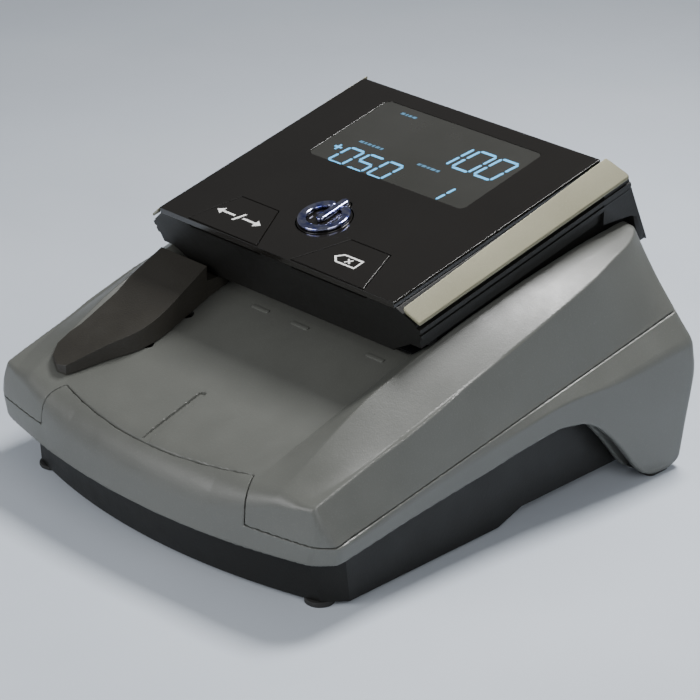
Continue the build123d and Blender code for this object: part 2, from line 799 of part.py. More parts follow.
def make_motor():
    with BuildPart() as motor:
        add(bar(MOTOR_Y, MOTOR_Z, 12.0, 20.0, PLATE_SIDE_X - 0.6).part)
        add(bar(MOTOR_Y, MOTOR_Z, 2.9, PLATE_SIDE_X - 0.6, PLATE_SIDE_X + SIDE_T).part)
        add(bar(MOTOR_Y, MOTOR_Z, 4.0, 18.0, 20.0).part)
        add(bar(MOTOR_Y, MOTOR_Z, 1.0 + RUNNING, PLATE_SIDE_X - 8.0, PLATE_SIDE_X + 4.0).part,
            mode=Mode.SUBTRACT)
    return motor


def make_hinge_bracket():
    """A steel strip under the back of the path plate with an upright ear at each end."""
    y0 = HINGE_Y
    z0 = HINGE_Z
    ear = ((60.0, PATH_TOP - 4.4), (66.0, PATH_TOP - 4.4), (68.6, PATH_TOP - 3.2),
           (y0 + 3.4, z0 - 1.0), (y0 + 3.0, z0 + 2.0), (y0, z0 + 3.4), (y0 - 3.0, z0 + 2.0),
           (y0 - 4.4, PATH_TOP + 0.6), (68.4, PATH_TOP - 1.0), (68.4, PATH_TOP - 2.6),
           (60.0, PATH_TOP - 2.6))
    with BuildPart() as hinge_bracket:
        add(side_slab(ear, EAR_X, EAR_X + EAR_T).part)
        mirror(about=Plane.YZ)
        add(block(-EAR_X - EAR_T, EAR_X + EAR_T, 64.3, 66.0, PATH_TOP - 4.4, PATH_TOP - 2.6).part)
        add(bar(y0, z0, HINGE_PIN_R + RUNNING, -60, 60).part, mode=Mode.SUBTRACT)
    return hinge_bracket


# ---- bill guide ----------------------------------------------------------------------------
def make_bill_guide(cushion):
    """A loose block against the left shoulder that narrows the tray, with two pegs below."""
    top = side_slab(((-75, 36.0), (-19.0, 60.7), (-19.0, 75), (-10, 75), (-10, 90), (-75, 90)), -60, 0)
    with BuildPart() as bill_guide:
        with BuildSketch(Plane.XY.offset(30)):
            with BuildLine():
                Polyline((-53.0, -19.0), (-53.0, -60.5), (-50.5, -64.6), (-46.2, -66.6),
                         (-43.0, -65.8), (-38.4, -56.9))
                Spline((-38.4, -56.9), (-32.4, -47.0), (-30.8, -39.8), (-31.4, -30.0),
                       (-32.6, -19.0), tangents=((0.45, 1), (-0.1, 1)))
                Line((-32.6, -19.0), (-53.0, -19.0))
            make_face()
        extrude(amount=45)
        add(top.part, mode=Mode.SUBTRACT)
        add(block(-40.6, -32.8, -19.5, -9.8, 40, 55.8).part)
        add(cushion.part, mode=Mode.SUBTRACT)
        with BuildSketch(tray_plane(-35.0)):
            with Locations((-40.2, -8.3), (-40.2, 8.3)):
                Circle(1.3)
        extrude(amount=-3.4)
        with BuildSketch(tray_plane(-35.0)):
            with Locations((-40.2, -8.3), (-40.2, 8.3)):
                Circle(1.3)
        extrude(amount=1.5)
    return bill_guide


def make_guide_clips():
    """Washers that hold the guide's pegs under the tray."""
    with BuildPart() as guide_clips:
        with BuildSketch(tray_plane(-35.0).offset(-4.0)):
            with Locations((-40.2, -8.3), (-40.2, 8.3)):
                Circle(2.4)
        extrude(amount=0.6)
    return guide_clips


# ---- head: shells --------------------------------------------------------------------------
NOSE_BOTTOM = (-15.0, 56.5)
TAIL = (78.3, 66.8)


def underside(lift=0.0):
    """Side-view points of the head's underside, front to back."""
    flat_end = 0.4
    points = [(NOSE_BOTTOM[0], NOSE_BOTTOM[1] + lift), (flat_end, NOSE_BOTTOM[1] + 0.2 + lift)]
    points += path_profile(PATH_GAP + lift, 8.0, 62.0)
    return points


def head_profile(skin, top=-GLASS_T - 0.05):
    """Side view of the whole head up to the height top over its top face, smaller by skin."""
    front_top = panel_point(skin - 0.27 * top, top)
    front_knee = panel_point(1.5 + skin, -TRIM_DROP)
    rear_knee = panel_point(PANEL_LEN + 4.0 - skin, -TRIM_DROP)
    rear_top = panel_point(PANEL_LEN - 0.7 * top - skin, top)
    low = underside(0.0)
    low[0] = (NOSE_BOTTOM[0] + skin, NOSE_BOTTOM[1])
    tail = [(69.0 - skin, 66.4), (TAIL[0] - skin, TAIL[1])]
    return low + tail + [rear_knee, rear_top, front_top, front_knee]


def panel_slab(points, v0, v1):
    """A bar up the head's slope from v0 to v1; points are its (x, w) section, mirrored."""
    y, z = panel_point(v0, 0)
    tilt = math.radians(PANEL_TILT)
    along = (0, math.cos(tilt), math.sin(tilt))
    section = points + [(-x, w) for x, w in reversed(points)]
    with BuildPart() as slab:
        # the plane's y points down into the head
        with BuildSketch(Plane(origin=(0, y, z), x_dir=(1, 0, 0), z_dir=along)):
            with BuildLine():
                Polyline(*[(x, -w) for x, w in section], close=True)
            make_face()
        extrude(amount=v1 - v0)
    return slab


HULL = [(GLASS_HALF, -GLASS_T - 0.05), (GLASS_HALF + 0.2, -GLASS_T - 0.15), (54.6, -6.8),
        (54.6, -7.8), (55.8, -8.0), (55.7, -9.4), (55.0, -9.6), (55.0, -10.1), (55.5, -10.3),
        (55.3, -11.8), (54.4, -12.1), (54.0, -15.2), (40.0, -15.2)]
HULL_IN = [(GLASS_HALF - 3.0, 1.0), (GLASS_HALF - 3.0, -2.6), (52.4, -8.2), (52.2, -13.4),
           (40.0, -13.4)]
WING = ((58.0, 77.4), (70.4, 76.8), (72.9, 75.8), (75.4, 70.0), (77.4, 67.4), (79.0, 67.2),
        (67.9, 90.6), (58.0, 86.6))


def head_form(skin):
    """The head as one solid without its glass and trims, or its cavity when skin is given."""
    hull = HULL_IN if skin else HULL
    low_half = HEAD_LOW_HALF - skin
    nose = NOSE_HALF - skin
    nose_front = Plane(origin=(0, WELL_Y + 0.6 + skin, 0), x_dir=(1, 0, 0), z_dir=(0, -1, 0))
    with BuildPart() as lower:
        add(side_slab(head_profile(skin), -low_half, low_half).part)
        add(panel_slab([(70, 20), (70, -6.0)], -30, 130).part, mode=Mode.SUBTRACT)
        add(block(-70, 70, -40, WELL_Y + 0.6 + skin, 40, 62.4).part, mode=Mode.SUBTRACT)
        add(block(-70, 70, -40, 0, 40, 57.6 if not skin else 58.4).part, mode=Mode.SUBTRACT)
    with BuildPart() as prow:
        with BuildSketch(nose_front):
            with BuildLine():
                Polyline((nose, 50), (nose, 56.9), (low_half, 62.4), (low_half, 70), (-low_half, 70),
                         (-low_half, 62.4), (-nose, 56.9), (-nose, 50), close=True)
            make_face()
        extrude(amount=40)
        with BuildSketch(nose_front):
            with BuildLine():
                Polyline((nose, 50), (nose, 64), (-nose, 64), (-nose, 50), close=True)
            make_face()
        extrude(amount=-20)
        add(side_slab(head_profile(skin), -low_half, low_half).part, mode=Mode.INTERSECT)
    with BuildPart() as wide:
        add(panel_slab(hull, -12, PANEL_LEN + 12).part)
        with BuildSketch(side_plane(-70)):
            with BuildLine():
                Polyline(*head_profile(skin), close=True)
            make_face()
        extrude(amount=140, mode=Mode.INTERSECT)
    with BuildPart() as form:
        add(lower.part)
        add(prow.part)
        add(wide.part)
    return form


def head_wings():
    """The smooth side walls at the back, which reach down behind the shoulders."""
    with BuildPart() as wings:
        add(side_slab(WING, HEAD_LOW_HALF - 1.0, HEAD_HALF - 0.6).part)
        mirror(about=Plane.YZ)
        add(side_slab(head_profile(0), -HEAD_HALF, HEAD_HALF).part, mode=Mode.INTERSECT)
        add(panel_slab([(70, 20), (70, -6.9)], -30, 130).part, mode=Mode.SUBTRACT)
    return wings


def hinge_pockets():
    """Room in the head's tail for the bracket's ears."""
    with BuildPart() as pockets:
        add(block(EAR_X - 0.8, EAR_X + EAR_T + 0.8, 60.0, 90.0, 55.0, 78.5).part)
        mirror(about=Plane.YZ)
    return pockets


def make_head_housing():
    with BuildPart() as lugs:
        for x0, x1 in ((EAR_X - 5.0, EAR_X - 0.8), (EAR_X + EAR_T + 0.8, HEAD_LOW_HALF)):
            add(block(x0, x1, 71.0, 79.0, 64.0, 78.0).part)
        mirror(about=Plane.YZ)
        add(head_form(0).part, mode=Mode.INTERSECT)
    with BuildPart() as head_housing:
        add(head_form(0).part)
        add(head_form(2.0).part, mode=Mode.SUBTRACT)
        add(hinge_pockets().part, mode=Mode.SUBTRACT)
        add(lugs.part)
        add(head_wings().part)
        # the front rim is lower under the two keys, so that they can go down
        for side in (-1, 1):
            pocket = button_sketch(panel_plane(0), side, 0.8)
            extrude(pocket.sketch, amount=-GLASS_T - 1.4, mode=Mode.SUBTRACT)
        add(bar(HINGE_Y, HINGE_Z, HINGE_PIN_R, -70, 70).part, mode=Mode.SUBTRACT)
    return head_housing


def make_head_lower_cover():
    half = HEAD_LOW_HALF - 2.2
    nose = NOSE_HALF - 2.2
    low = underside(0.0)
    high = underside(1.8)
    low[0] = (NOSE_BOTTOM[0] + 2.4, NOSE_BOTTOM[1])
    high[0] = (NOSE_BOTTOM[0] + 2.4, NOSE_BOTTOM[1] + 1.8)
    with BuildPart() as head_lower_cover:
        add(side_slab(low + high[::-1], -half, half).part)
        add(block(-60, -nose, -30, 1.5, 40, 70).part, mode=Mode.SUBTRACT)
        add(block(nose, 60, -30, 1.5, 40, 70).part, mode=Mode.SUBTRACT)
        add(roller_windows(50, 72, 5.0, 0.8).part, mode=Mode.SUBTRACT)
        add(block(-43.0, 43.0, *WINDOW_Y, 50, 70).part, mode=Mode.SUBTRACT)
    return head_lower_cover


def make_hinge_pins():
    with BuildPart() as hinge_pins:
        add(bar(HINGE_Y, HINGE_Z, HINGE_PIN_R, EAR_X - 4.0, HEAD_LOW_HALF - 0.4).part)
        mirror(about=Plane.YZ)
    return hinge_pins


# ---- head: top panel -----------------------------------------------------------------------
BUTTON_OUTLINE = ((36.4, 0.7), (30.9, 17.3), (15.2, 17.3), (7.3, 0.7))
LCD_V = 64.0
LCD_SIZE = (64.0, 35.4)
POWER_V = 21.5
POWER_R = 8.3
POWER_BAR_V = 25.15      # middle of the power symbol's bar
POWER_BAR = (12.3, 2.5)


def button_sketch(plane, side, grow):
    """The outline of one of the two front buttons, side -1 left or +1 right."""
    with BuildSketch(plane) as outline:
        with BuildLine():
            Polyline(*[(side * x, v) for x, v in BUTTON_OUTLINE], close=True)
        make_face()
        if grow:
            offset(amount=grow, kind=Kind.INTERSECTION)
    return outline


def power_outline(plane, grow):
    """The power key: a disc with a tongue under the symbol's bar."""
    with BuildSketch(plane) as outline:
        with Locations((0, POWER_V)):
            Circle(POWER_R + grow)
        with Locations((0, POWER_BAR_V)):
            SlotOverall(POWER_BAR[0] + 1.2 + 2 * grow, POWER_BAR[1] + 1.2 + 2 * grow, rotation=90)
    return outline


def make_glass_panel():
    with BuildPart() as glass_panel:
        with BuildSketch(panel_plane()):
            with Locations((0, PANEL_LEN / 2)):
                Rectangle(2 * GLASS_HALF - 0.3, PANEL_LEN)
            with Locations((0, LCD_V)):
                RectangleRounded(LCD_SIZE[0] + 0.2, LCD_SIZE[1] + 0.2, 2.0, mode=Mode.SUBTRACT)
        extrude(amount=-GLASS_T)
        hole = power_outline(panel_plane(1), BUTTON_GAP)
        extrude(hole.sketch, amount=-6, mode=Mode.SUBTRACT)
        for side in (-1, 1):
            cut = button_sketch(panel_plane(1), side, BUTTON_GAP)
            extrude(cut.sketch, amount=-6, mode=Mode.SUBTRACT)
    return glass_panel


def make_lcd_window():
    with BuildPart() as lcd_window:
        with BuildSketch(panel_plane(-0.15)):
            with Locations((0, LCD_V)):
                RectangleRounded(*LCD_SIZE, 1.9)
        extrude(amount=-1.6)
    return lcd_window


def make_lcd_module():
    with BuildPart() as lcd_module:
        with BuildSketch(panel_plane(-2.3)):
            with Locations((0, LCD_V)):
                Rectangle(72.0, 40.0)
        extrude(amount=-4.6)
        with BuildSketch(panel_plane(-2.3)):
            with Locations((0, LCD_V)):
                Rectangle(65.0, 36.0)
        extrude(amount=-0.8, mode=Mode.SUBTRACT)
    return lcd_module


def make_trim(side):
    x0 = GLASS_HALF + 0.15
    section = ((x0, -0.15), (HEAD_HALF - 0.3, -TRIM_DROP + 0.2), (HEAD_HALF, -TRIM_DROP - 0.2),
               (HEAD_HALF, -6.7), (HEAD_HALF - 1.3, -6.7), (x0, -2.0))
    y, z = panel_point(-2.0, 0)
    tilt = math.radians(PANEL_TILT)
    along = (0, math.cos(tilt), math.sin(tilt))
    with BuildPart() as trim:
        with BuildSketch(Plane(origin=(0, y, z), x_dir=(1, 0, 0), z_dir=along)):
            with BuildLine():
                Polyline(*[(side * x, -w) for x, w in section], close=True)
            make_face()
        extrude(amount=PANEL_LEN + 10.0)
        add(side_slab(head_profile(0, 0.0), -60, 60).part, mode=Mode.INTERSECT)
    return trim


def make_side_button(side):
    """A flat key with a stem that ends just above its switch."""
    spot = (side * 21.5, 9.0)
    with BuildPart() as button:
        outline = button_sketch(panel_plane(0.05), side, 0)
        extrude(outline.sketch, amount=-1.9)
        with BuildSketch(panel_plane(-1.8)):
            with Locations(spot):
                Circle(2.0)
        extrude(amount=-2.4)
    return button


def make_power_button():
    with BuildPart() as power_button:
        outline = power_outline(panel_plane(0.1), 0)
        extrude(outline.sketch, amount=-2.0)
        with BuildSketch(panel_plane(-1.8)):
            with Locations((0, POWER_V)):
                Circle(2.2)
        extrude(amount=-2.4)
    return power_button


def make_power_symbol():
    """The raised ring, open at the back, and its upright bar."""
    with BuildPart() as power_symbol:
        with BuildSketch(panel_plane(0.1)):
            with Locations((0, POWER_V)):
                Circle(8.0)
                Circle(5.7, mode=Mode.SUBTRACT)
            with Locations((0, POWER_V + 7.0)):
                Rectangle(5.4, 6.0, mode=Mode.SUBTRACT)
            with Locations((0, POWER_BAR_V)):
                SlotOverall(*POWER_BAR, rotation=90)
        extrude(amount=1.5)
    return power_symbol


SWITCH_SPOTS = ((-21.5, 9.0), (21.5, 9.0), (0, POWER_V))


def make_display_board():
    with BuildPart() as display_board:
        with BuildSketch(panel_plane(-7.2)):
            with Locations((0, 44.0)):
                Rectangle(88.0, 78.0)
        extrude(amount=-1.6)
    return display_board


def make_tact_switches():
    with BuildPart() as tact_switches:
        with BuildSketch(panel_plane(-7.2)):
            with Locations(*SWITCH_SPOTS):
                Rectangle(6.0, 6.0)
        extrude(amount=1.2)
        with BuildSketch(panel_plane(-6.0)):
            with Locations(*SWITCH_SPOTS):
                Circle(1.7)
        extrude(amount=0.6)
    return tact_switches


# ---- head: path side -----------------------------------------------------------------------
def make_upper_sensor_bar():
    y0, y1 = WINDOW_Y
    low = PATH_TOP + PATH_GAP
    with BuildPart() as upper_sensor_bar:
        add(block(-42.6, 42.6, y0 + 0.3, y1 - 0.3, low + 1.1, low + 9.0).part)
    return upper_sensor_bar


def make_upper_sensor_glass():
    y0, y1 = WINDOW_Y
    low = PATH_TOP + PATH_GAP
    with BuildPart() as upper_sensor_glass:
        add(block(-42.6, 42.6, y0 + 0.3, y1 - 0.3, low + 0.1, low + 1.1).part)
    return upper_sensor_glass


def make_magnetic_sensor():
    with BuildPart() as magnetic_sensor:
        add(block(-9, 9, 17.5, 27.5, path_z(22) + PATH_GAP + 3.2, path_z(22) + PATH_GAP + 10).part)
    return magnetic_sensor


def make_press_blocks():
    """Bearing blocks of the pressure rollers."""
    with BuildPart() as press_blocks:
        for y, z in ((PRESS_Y, PRESS_Z), (REAR_FEED_Y, REAR_PRESS_Z)):
            add(block(-46.0, -42.5, y - 4, y + 2.2, z - 2.2, z + 4).part)
            add(block(42.5, 46.0, y - 4, y + 2.2, z - 2.2, z + 4).part)
        add(bar(PRESS_Y, PRESS_Z, SHAFT_R + RUNNING, -60, 60).part, mode=Mode.SUBTRACT)
        add(bar(REAR_FEED_Y, REAR_PRESS_Z, SHAFT_R + RUNNING, -60, 60).part, mode=Mode.SUBTRACT)
    return press_blocks


# ---- build ---------------------------------------------------------------------------------
def export(name, piece):
    piece.part.label = name
    export_step(piece.part, f"parts/{name}.step")


def main():
    os.makedirs("parts", exist_ok=True)
    outer = body_form(0)
    inner = body_form(WALL)
    gear_end = GEAR_X + GEAR_W
    export("upper_shell", make_upper_shell(outer, inner))
    export("bumper_frame", make_bumper_frame(outer, inner))
    export("base_casing", make_base_casing())
    export("rear_panel", make_rear_panel())
    export("dc_socket", make_dc_socket())
    export("dc_socket_pin", make_dc_socket_pin())
    export("update_port", make_update_port())
    export("front_feet", make_front_feet())
    export("rear_feet", make_rear_feet())
    export("casing_screws", make_casing_screws())
    export("battery_door", make_battery_door())
    export("battery_door_screws", make_battery_door_screws())
    export("battery_pack", make_battery_pack())
    export("main_board", make_main_board())
    export("board_components", make_board_components())
    export("board_screws", make_board_screws())
    export("path_plate", make_path_plate())
    export("lower_sensor_bar", make_lower_sensor_bar())
    export("lower_sensor_glass", make_lower_sensor_glass())
    export("left_side_plate", make_side_plate(-PLATE_SIDE_X - SIDE_T))
    export("right_side_plate", make_side_plate(PLATE_SIDE_X))
    export("shaft_bushes", make_shaft_bushes())
    export("front_feed_shaft", make_shaft(FEED_Y, FEED_Z, PULLEY_X - 1.0, gear_end))
    export("front_feed_rollers", make_rollers(FEED_Y, FEED_Z, ROLLER_R))
    export("front_feed_gear",
           make_gear(FEED_Y, FEED_Z, FEED_TEETH, FEED_TO_MIDDLE, GEAR_X, SHAFT_R))
    export("front_pulley", make_pulley(FEED_Y, FEED_Z))
    export("rear_feed_shaft", make_shaft(REAR_FEED_Y, REAR_FEED_Z, PULLEY_X - 1.0, 51.0))
    export("rear_feed_rollers", make_rollers(REAR_FEED_Y, REAR_FEED_Z, ROLLER_R))
    export("rear_pulley", make_pulley(REAR_FEED_Y, REAR_FEED_Z))
    export("drive_belt", make_drive_belt())
    export("middle_gear",
           make_gear(MIDDLE_Y, MIDDLE_Z, MIDDLE_TEETH, MIDDLE_PHASE, GEAR_X, 1.5 + RUNNING))
    export("middle_gear_pin", bar(MIDDLE_Y, MIDDLE_Z, 1.5, PLATE_SIDE_X, gear_end + 0.6))
    export("motor", make_motor())
    export("motor_shaft", bar(MOTOR_Y, MOTOR_Z, 1.0, PLATE_SIDE_X - 6.0, gear_end))
    export("motor_pinion",
           make_gear(MOTOR_Y, MOTOR_Z, PINION_TEETH, pinion_phase(), GEAR_X, 1.0))
    export("hinge_bracket", make_hinge_bracket())
    export("bill_guide", make_bill_guide(body_stations(-0.35)))
    export("guide_clips", make_guide_clips())
    export("head_housing", make_head_housing())
    export("head_lower_cover", make_head_lower_cover())
    export("hinge_pins", make_hinge_pins())
    export("glass_panel", make_glass_panel())
    export("lcd_window", make_lcd_window())
    export("lcd_module", make_lcd_module())
    export("left_trim", make_trim(-1))
    export("right_trim", make_trim(1))
    export("reverse_button", make_side_button(-1))
    export("clear_button", make_side_button(1))
    export("power_button", make_power_button())
    export("power_symbol", make_power_symbol())
    export("display_board", make_display_board())
    export("tact_switches", make_tact_switches())
    export("upper_sensor_bar", make_upper_sensor_bar())
    export("upper_sensor_glass", make_upper_sensor_glass())
    export("magnetic_sensor", make_magnetic_sensor())
    export("press_blocks", make_press_blocks())
    export("front_press_shaft", make_shaft(PRESS_Y, PRESS_Z, -46.5, 46.5))
    export("front_press_rollers", make_rollers(PRESS_Y, PRESS_Z, IDLER_R))
    export("rear_press_shaft", make_shaft(REAR_FEED_Y, REAR_PRESS_Z, -46.5, 46.5))
    export("rear_press_rollers", make_rollers(REAR_FEED_Y, REAR_PRESS_Z, IDLER_R))


main()
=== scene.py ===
import json
import math

import bmesh
import bpy
import numpy as np
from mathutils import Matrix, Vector

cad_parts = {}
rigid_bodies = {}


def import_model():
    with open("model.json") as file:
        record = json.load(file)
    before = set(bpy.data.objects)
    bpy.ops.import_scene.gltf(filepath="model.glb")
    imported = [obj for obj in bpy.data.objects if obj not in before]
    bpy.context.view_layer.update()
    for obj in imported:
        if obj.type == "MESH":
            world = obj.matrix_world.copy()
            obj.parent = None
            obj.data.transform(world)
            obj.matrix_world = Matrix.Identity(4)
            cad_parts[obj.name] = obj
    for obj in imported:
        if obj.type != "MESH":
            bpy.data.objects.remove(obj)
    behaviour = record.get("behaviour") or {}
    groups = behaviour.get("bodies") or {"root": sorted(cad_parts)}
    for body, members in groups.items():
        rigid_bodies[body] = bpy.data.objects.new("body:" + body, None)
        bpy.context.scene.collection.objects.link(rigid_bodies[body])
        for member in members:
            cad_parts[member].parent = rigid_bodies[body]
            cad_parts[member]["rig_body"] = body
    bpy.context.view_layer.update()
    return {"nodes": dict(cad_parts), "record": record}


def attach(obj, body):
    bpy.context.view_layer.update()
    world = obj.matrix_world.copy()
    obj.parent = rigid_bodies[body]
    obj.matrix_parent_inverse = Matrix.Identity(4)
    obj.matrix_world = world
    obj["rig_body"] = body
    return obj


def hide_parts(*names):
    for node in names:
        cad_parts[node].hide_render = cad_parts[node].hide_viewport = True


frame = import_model()
MM = 0.001
scene = bpy.context.scene


# ---- camera, lights, floor -----------------------------------------------------------------
def make_camera():
    """The viewing angle: 45 degrees to the right of the front and 25 above."""
    turn, rise = math.radians(45.3), math.radians(25.13)
    data = bpy.data.cameras.new("view_camera")
    data.lens = 154.3
    data.sensor_width = 36.0
    data.clip_start = 0.01
    data.clip_end = 20.0
    camera = bpy.data.objects.new("view_camera", data)
    scene.collection.objects.link(camera)
    camera.rotation_euler = (math.pi / 2 - rise, 0, turn)
    camera.location = Vector((578.7, -564.1, 416.8)) * MM
    scene.camera = camera


def make_area(name, place, target, width, height, watts):
    data = bpy.data.lights.new(name, "AREA")
    data.shape = "RECTANGLE"
    data.size = width
    data.size_y = height
    data.energy = watts
    light = bpy.data.objects.new(name, data)
    scene.collection.objects.link(light)
    light.location = place
    light.rotation_euler = (Vector(target) - Vector(place)).to_track_quat("-Z", "Y").to_euler()


def make_studio():
    world = bpy.data.worlds.new("studio")
    scene.world = world
    world.use_nodes = True
    background = world.node_tree.nodes["Background"]
    background.inputs["Color"].default_value = (0.92, 0.95, 1.0, 1)
    background.inputs["Strength"].default_value = 0.16
    centre = (0, 0, 0.05)
    make_area("key_light", (0.62, -0.25, 0.42), centre, 0.45, 0.45, 2.3)
    make_area("top_softbox", (0.05, 0.20, 0.48), (0.06, 0.04, 0.06), 0.14, 0.14, 3.7)
    make_area("front_fill", (-0.25, -0.85, 0.45), centre, 0.7, 0.4, 5.8)


def make_floor():
    mesh = bpy.data.meshes.new("floor")
    half = 3.0
    mesh.from_pydata([(-half, -half, 0), (half, -half, 0), (half, half, 0), (-half, half, 0)],
                     [], [(0, 1, 2, 3)])
    floor = bpy.data.objects.new("floor", mesh)
    scene.collection.objects.link(floor)
    floor_shade = Shade("floor_paper", (0.56, 0.61, 0.68), 0.75)
    floor_shade.mottle((0.54, 0.59, 0.66), (0.58, 0.63, 0.70), 12)
    mesh.materials.append(floor_shade.material)


# ---- materials -----------------------------------------------------------------------------
class Shade:
    """A node material in object space; texture scales are in features per metre."""

    def __init__(self, name, colour, roughness, metallic=0.0):
        self.material = bpy.data.materials.new(name)
        self.material.use_nodes = True
        self.nodes = self.material.node_tree.nodes
        self.links = self.material.node_tree.links
        self.shader = self.nodes["Principled BSDF"]
        self.set("Base Color", (*colour, 1))
        self.set("Roughness", roughness)
        self.set("Metallic", metallic)
        self.place = self.nodes.new("ShaderNodeTexCoord").outputs["Object"]
        self.height = None

    def set(self, socket, value):
        self.shader.inputs[socket].default_value = value

    def join(self, source, target):
        self.links.new(source, target)

    def stretched(self, stretch):
        mapping = self.nodes.new("ShaderNodeMapping")
        mapping.inputs["Scale"].default_value = stretch
        self.join(self.place, mapping.inputs["Vector"])
        return mapping.outputs["Vector"]

    def noise(self, scale, detail=3.0, roughness=0.55, stretch=None):
        node = self.nodes.new("ShaderNodeTexNoise")
        node.inputs["Scale"].default_value = scale
        node.inputs["Detail"].default_value = detail
        node.inputs["Roughness"].default_value = roughness
        self.join(self.stretched(stretch) if stretch else self.place, node.inputs["Vector"])
        return node.outputs["Fac"]

    def cells(self, scale):
        node = self.nodes.new("ShaderNodeTexVoronoi")
        node.feature = "SMOOTH_F1"
        node.inputs["Scale"].default_value = scale
        node.inputs["Smoothness"].default_value = 0.6
        self.join(self.place, node.inputs["Vector"])
        return node.outputs["Distance"]

    def spread(self, source, low, high, to_low, to_high):
        """Maps low..high of source onto to_low..to_high, clamped."""
        node = self.nodes.new("ShaderNodeMapRange")
        for socket, value in (("From Min", low), ("From Max", high),
                              ("To Min", to_low), ("To Max", to_high)):
            node.inputs[socket].default_value = value
        self.join(source, node.inputs["Value"])
        return node.outputs["Result"]

    def blend(self, factor, first, second):
        """A mix of two inputs, each a colour or another node's output."""
        node = self.nodes.new("ShaderNodeMix")
        node.data_type = "RGBA"
        self.join(factor, node.inputs["Factor"])
        for socket, value in (("A", first), ("B", second)):
            target = next(s for s in node.inputs if s.name == socket and s.type == "RGBA")
            if isinstance(value, tuple):
                target.default_value = (*value, 1)
            else:
                self.join(value, target)
        return next(s for s in node.outputs if s.type == "RGBA")

    def mottle(self, first, second, scale, speckle=None, speckle_scale=2500, amount=0.35):
        """Slow drift between two colours, with fine specks of a third."""
        colour = self.blend(self.spread(self.noise(scale, 4), 0.3, 0.7, 0, 1), first, second)
        if speckle:
            specks = self.spread(self.noise(speckle_scale, 2), 0.56, 0.72, 0, amount)
            colour = self.blend(specks, colour, speckle)
        self.join(colour, self.shader.inputs["Base Color"])

    def wear(self, scale, low, high, stretch=None):
        """Uneven gloss."""
        self.join(self.spread(self.noise(scale, 5, 0.65, stretch), 0.3, 0.7, low, high),
                  self.shader.inputs["Roughness"])

    def bump(self, source, depth):
        """Adds relief of the given depth in metres on top of what is there."""
        node = self.nodes.new("ShaderNodeBump")
        node.inputs["Strength"].default_value = 1.0
        node.inputs["Distance"].default_value = depth
        self.join(source, node.inputs["Height"])
        if self.height:
            self.join(self.height, node.inputs["Normal"])
        self.height = node.outputs["Normal"]
        self.join(self.height, self.shader.inputs["Normal"])


def moulded(name, colour, drift, roughness, grain, grain_depth, specular):
    """Moulded plastic with a fine spark-eroded texture."""
    shade = Shade(name, colour, roughness)
    lighter = tuple(c * (1 + drift) for c in colour)
    darker = tuple(c * (1 - drift) for c in colour)
    speckle = tuple(min(1, c * 1.5 + 0.01) for c in colour)
    shade.mottle(darker, lighter, 45, speckle, 2600, 0.3)
    shade.wear(90, roughness - 0.05, roughness + 0.07)
    shade.set("Specular IOR Level", specular)
    shade.bump(shade.cells(grain), grain_depth)
    shade.bump(shade.noise(grain * 0.35, 3), grain_depth * 1.5)
    return shade


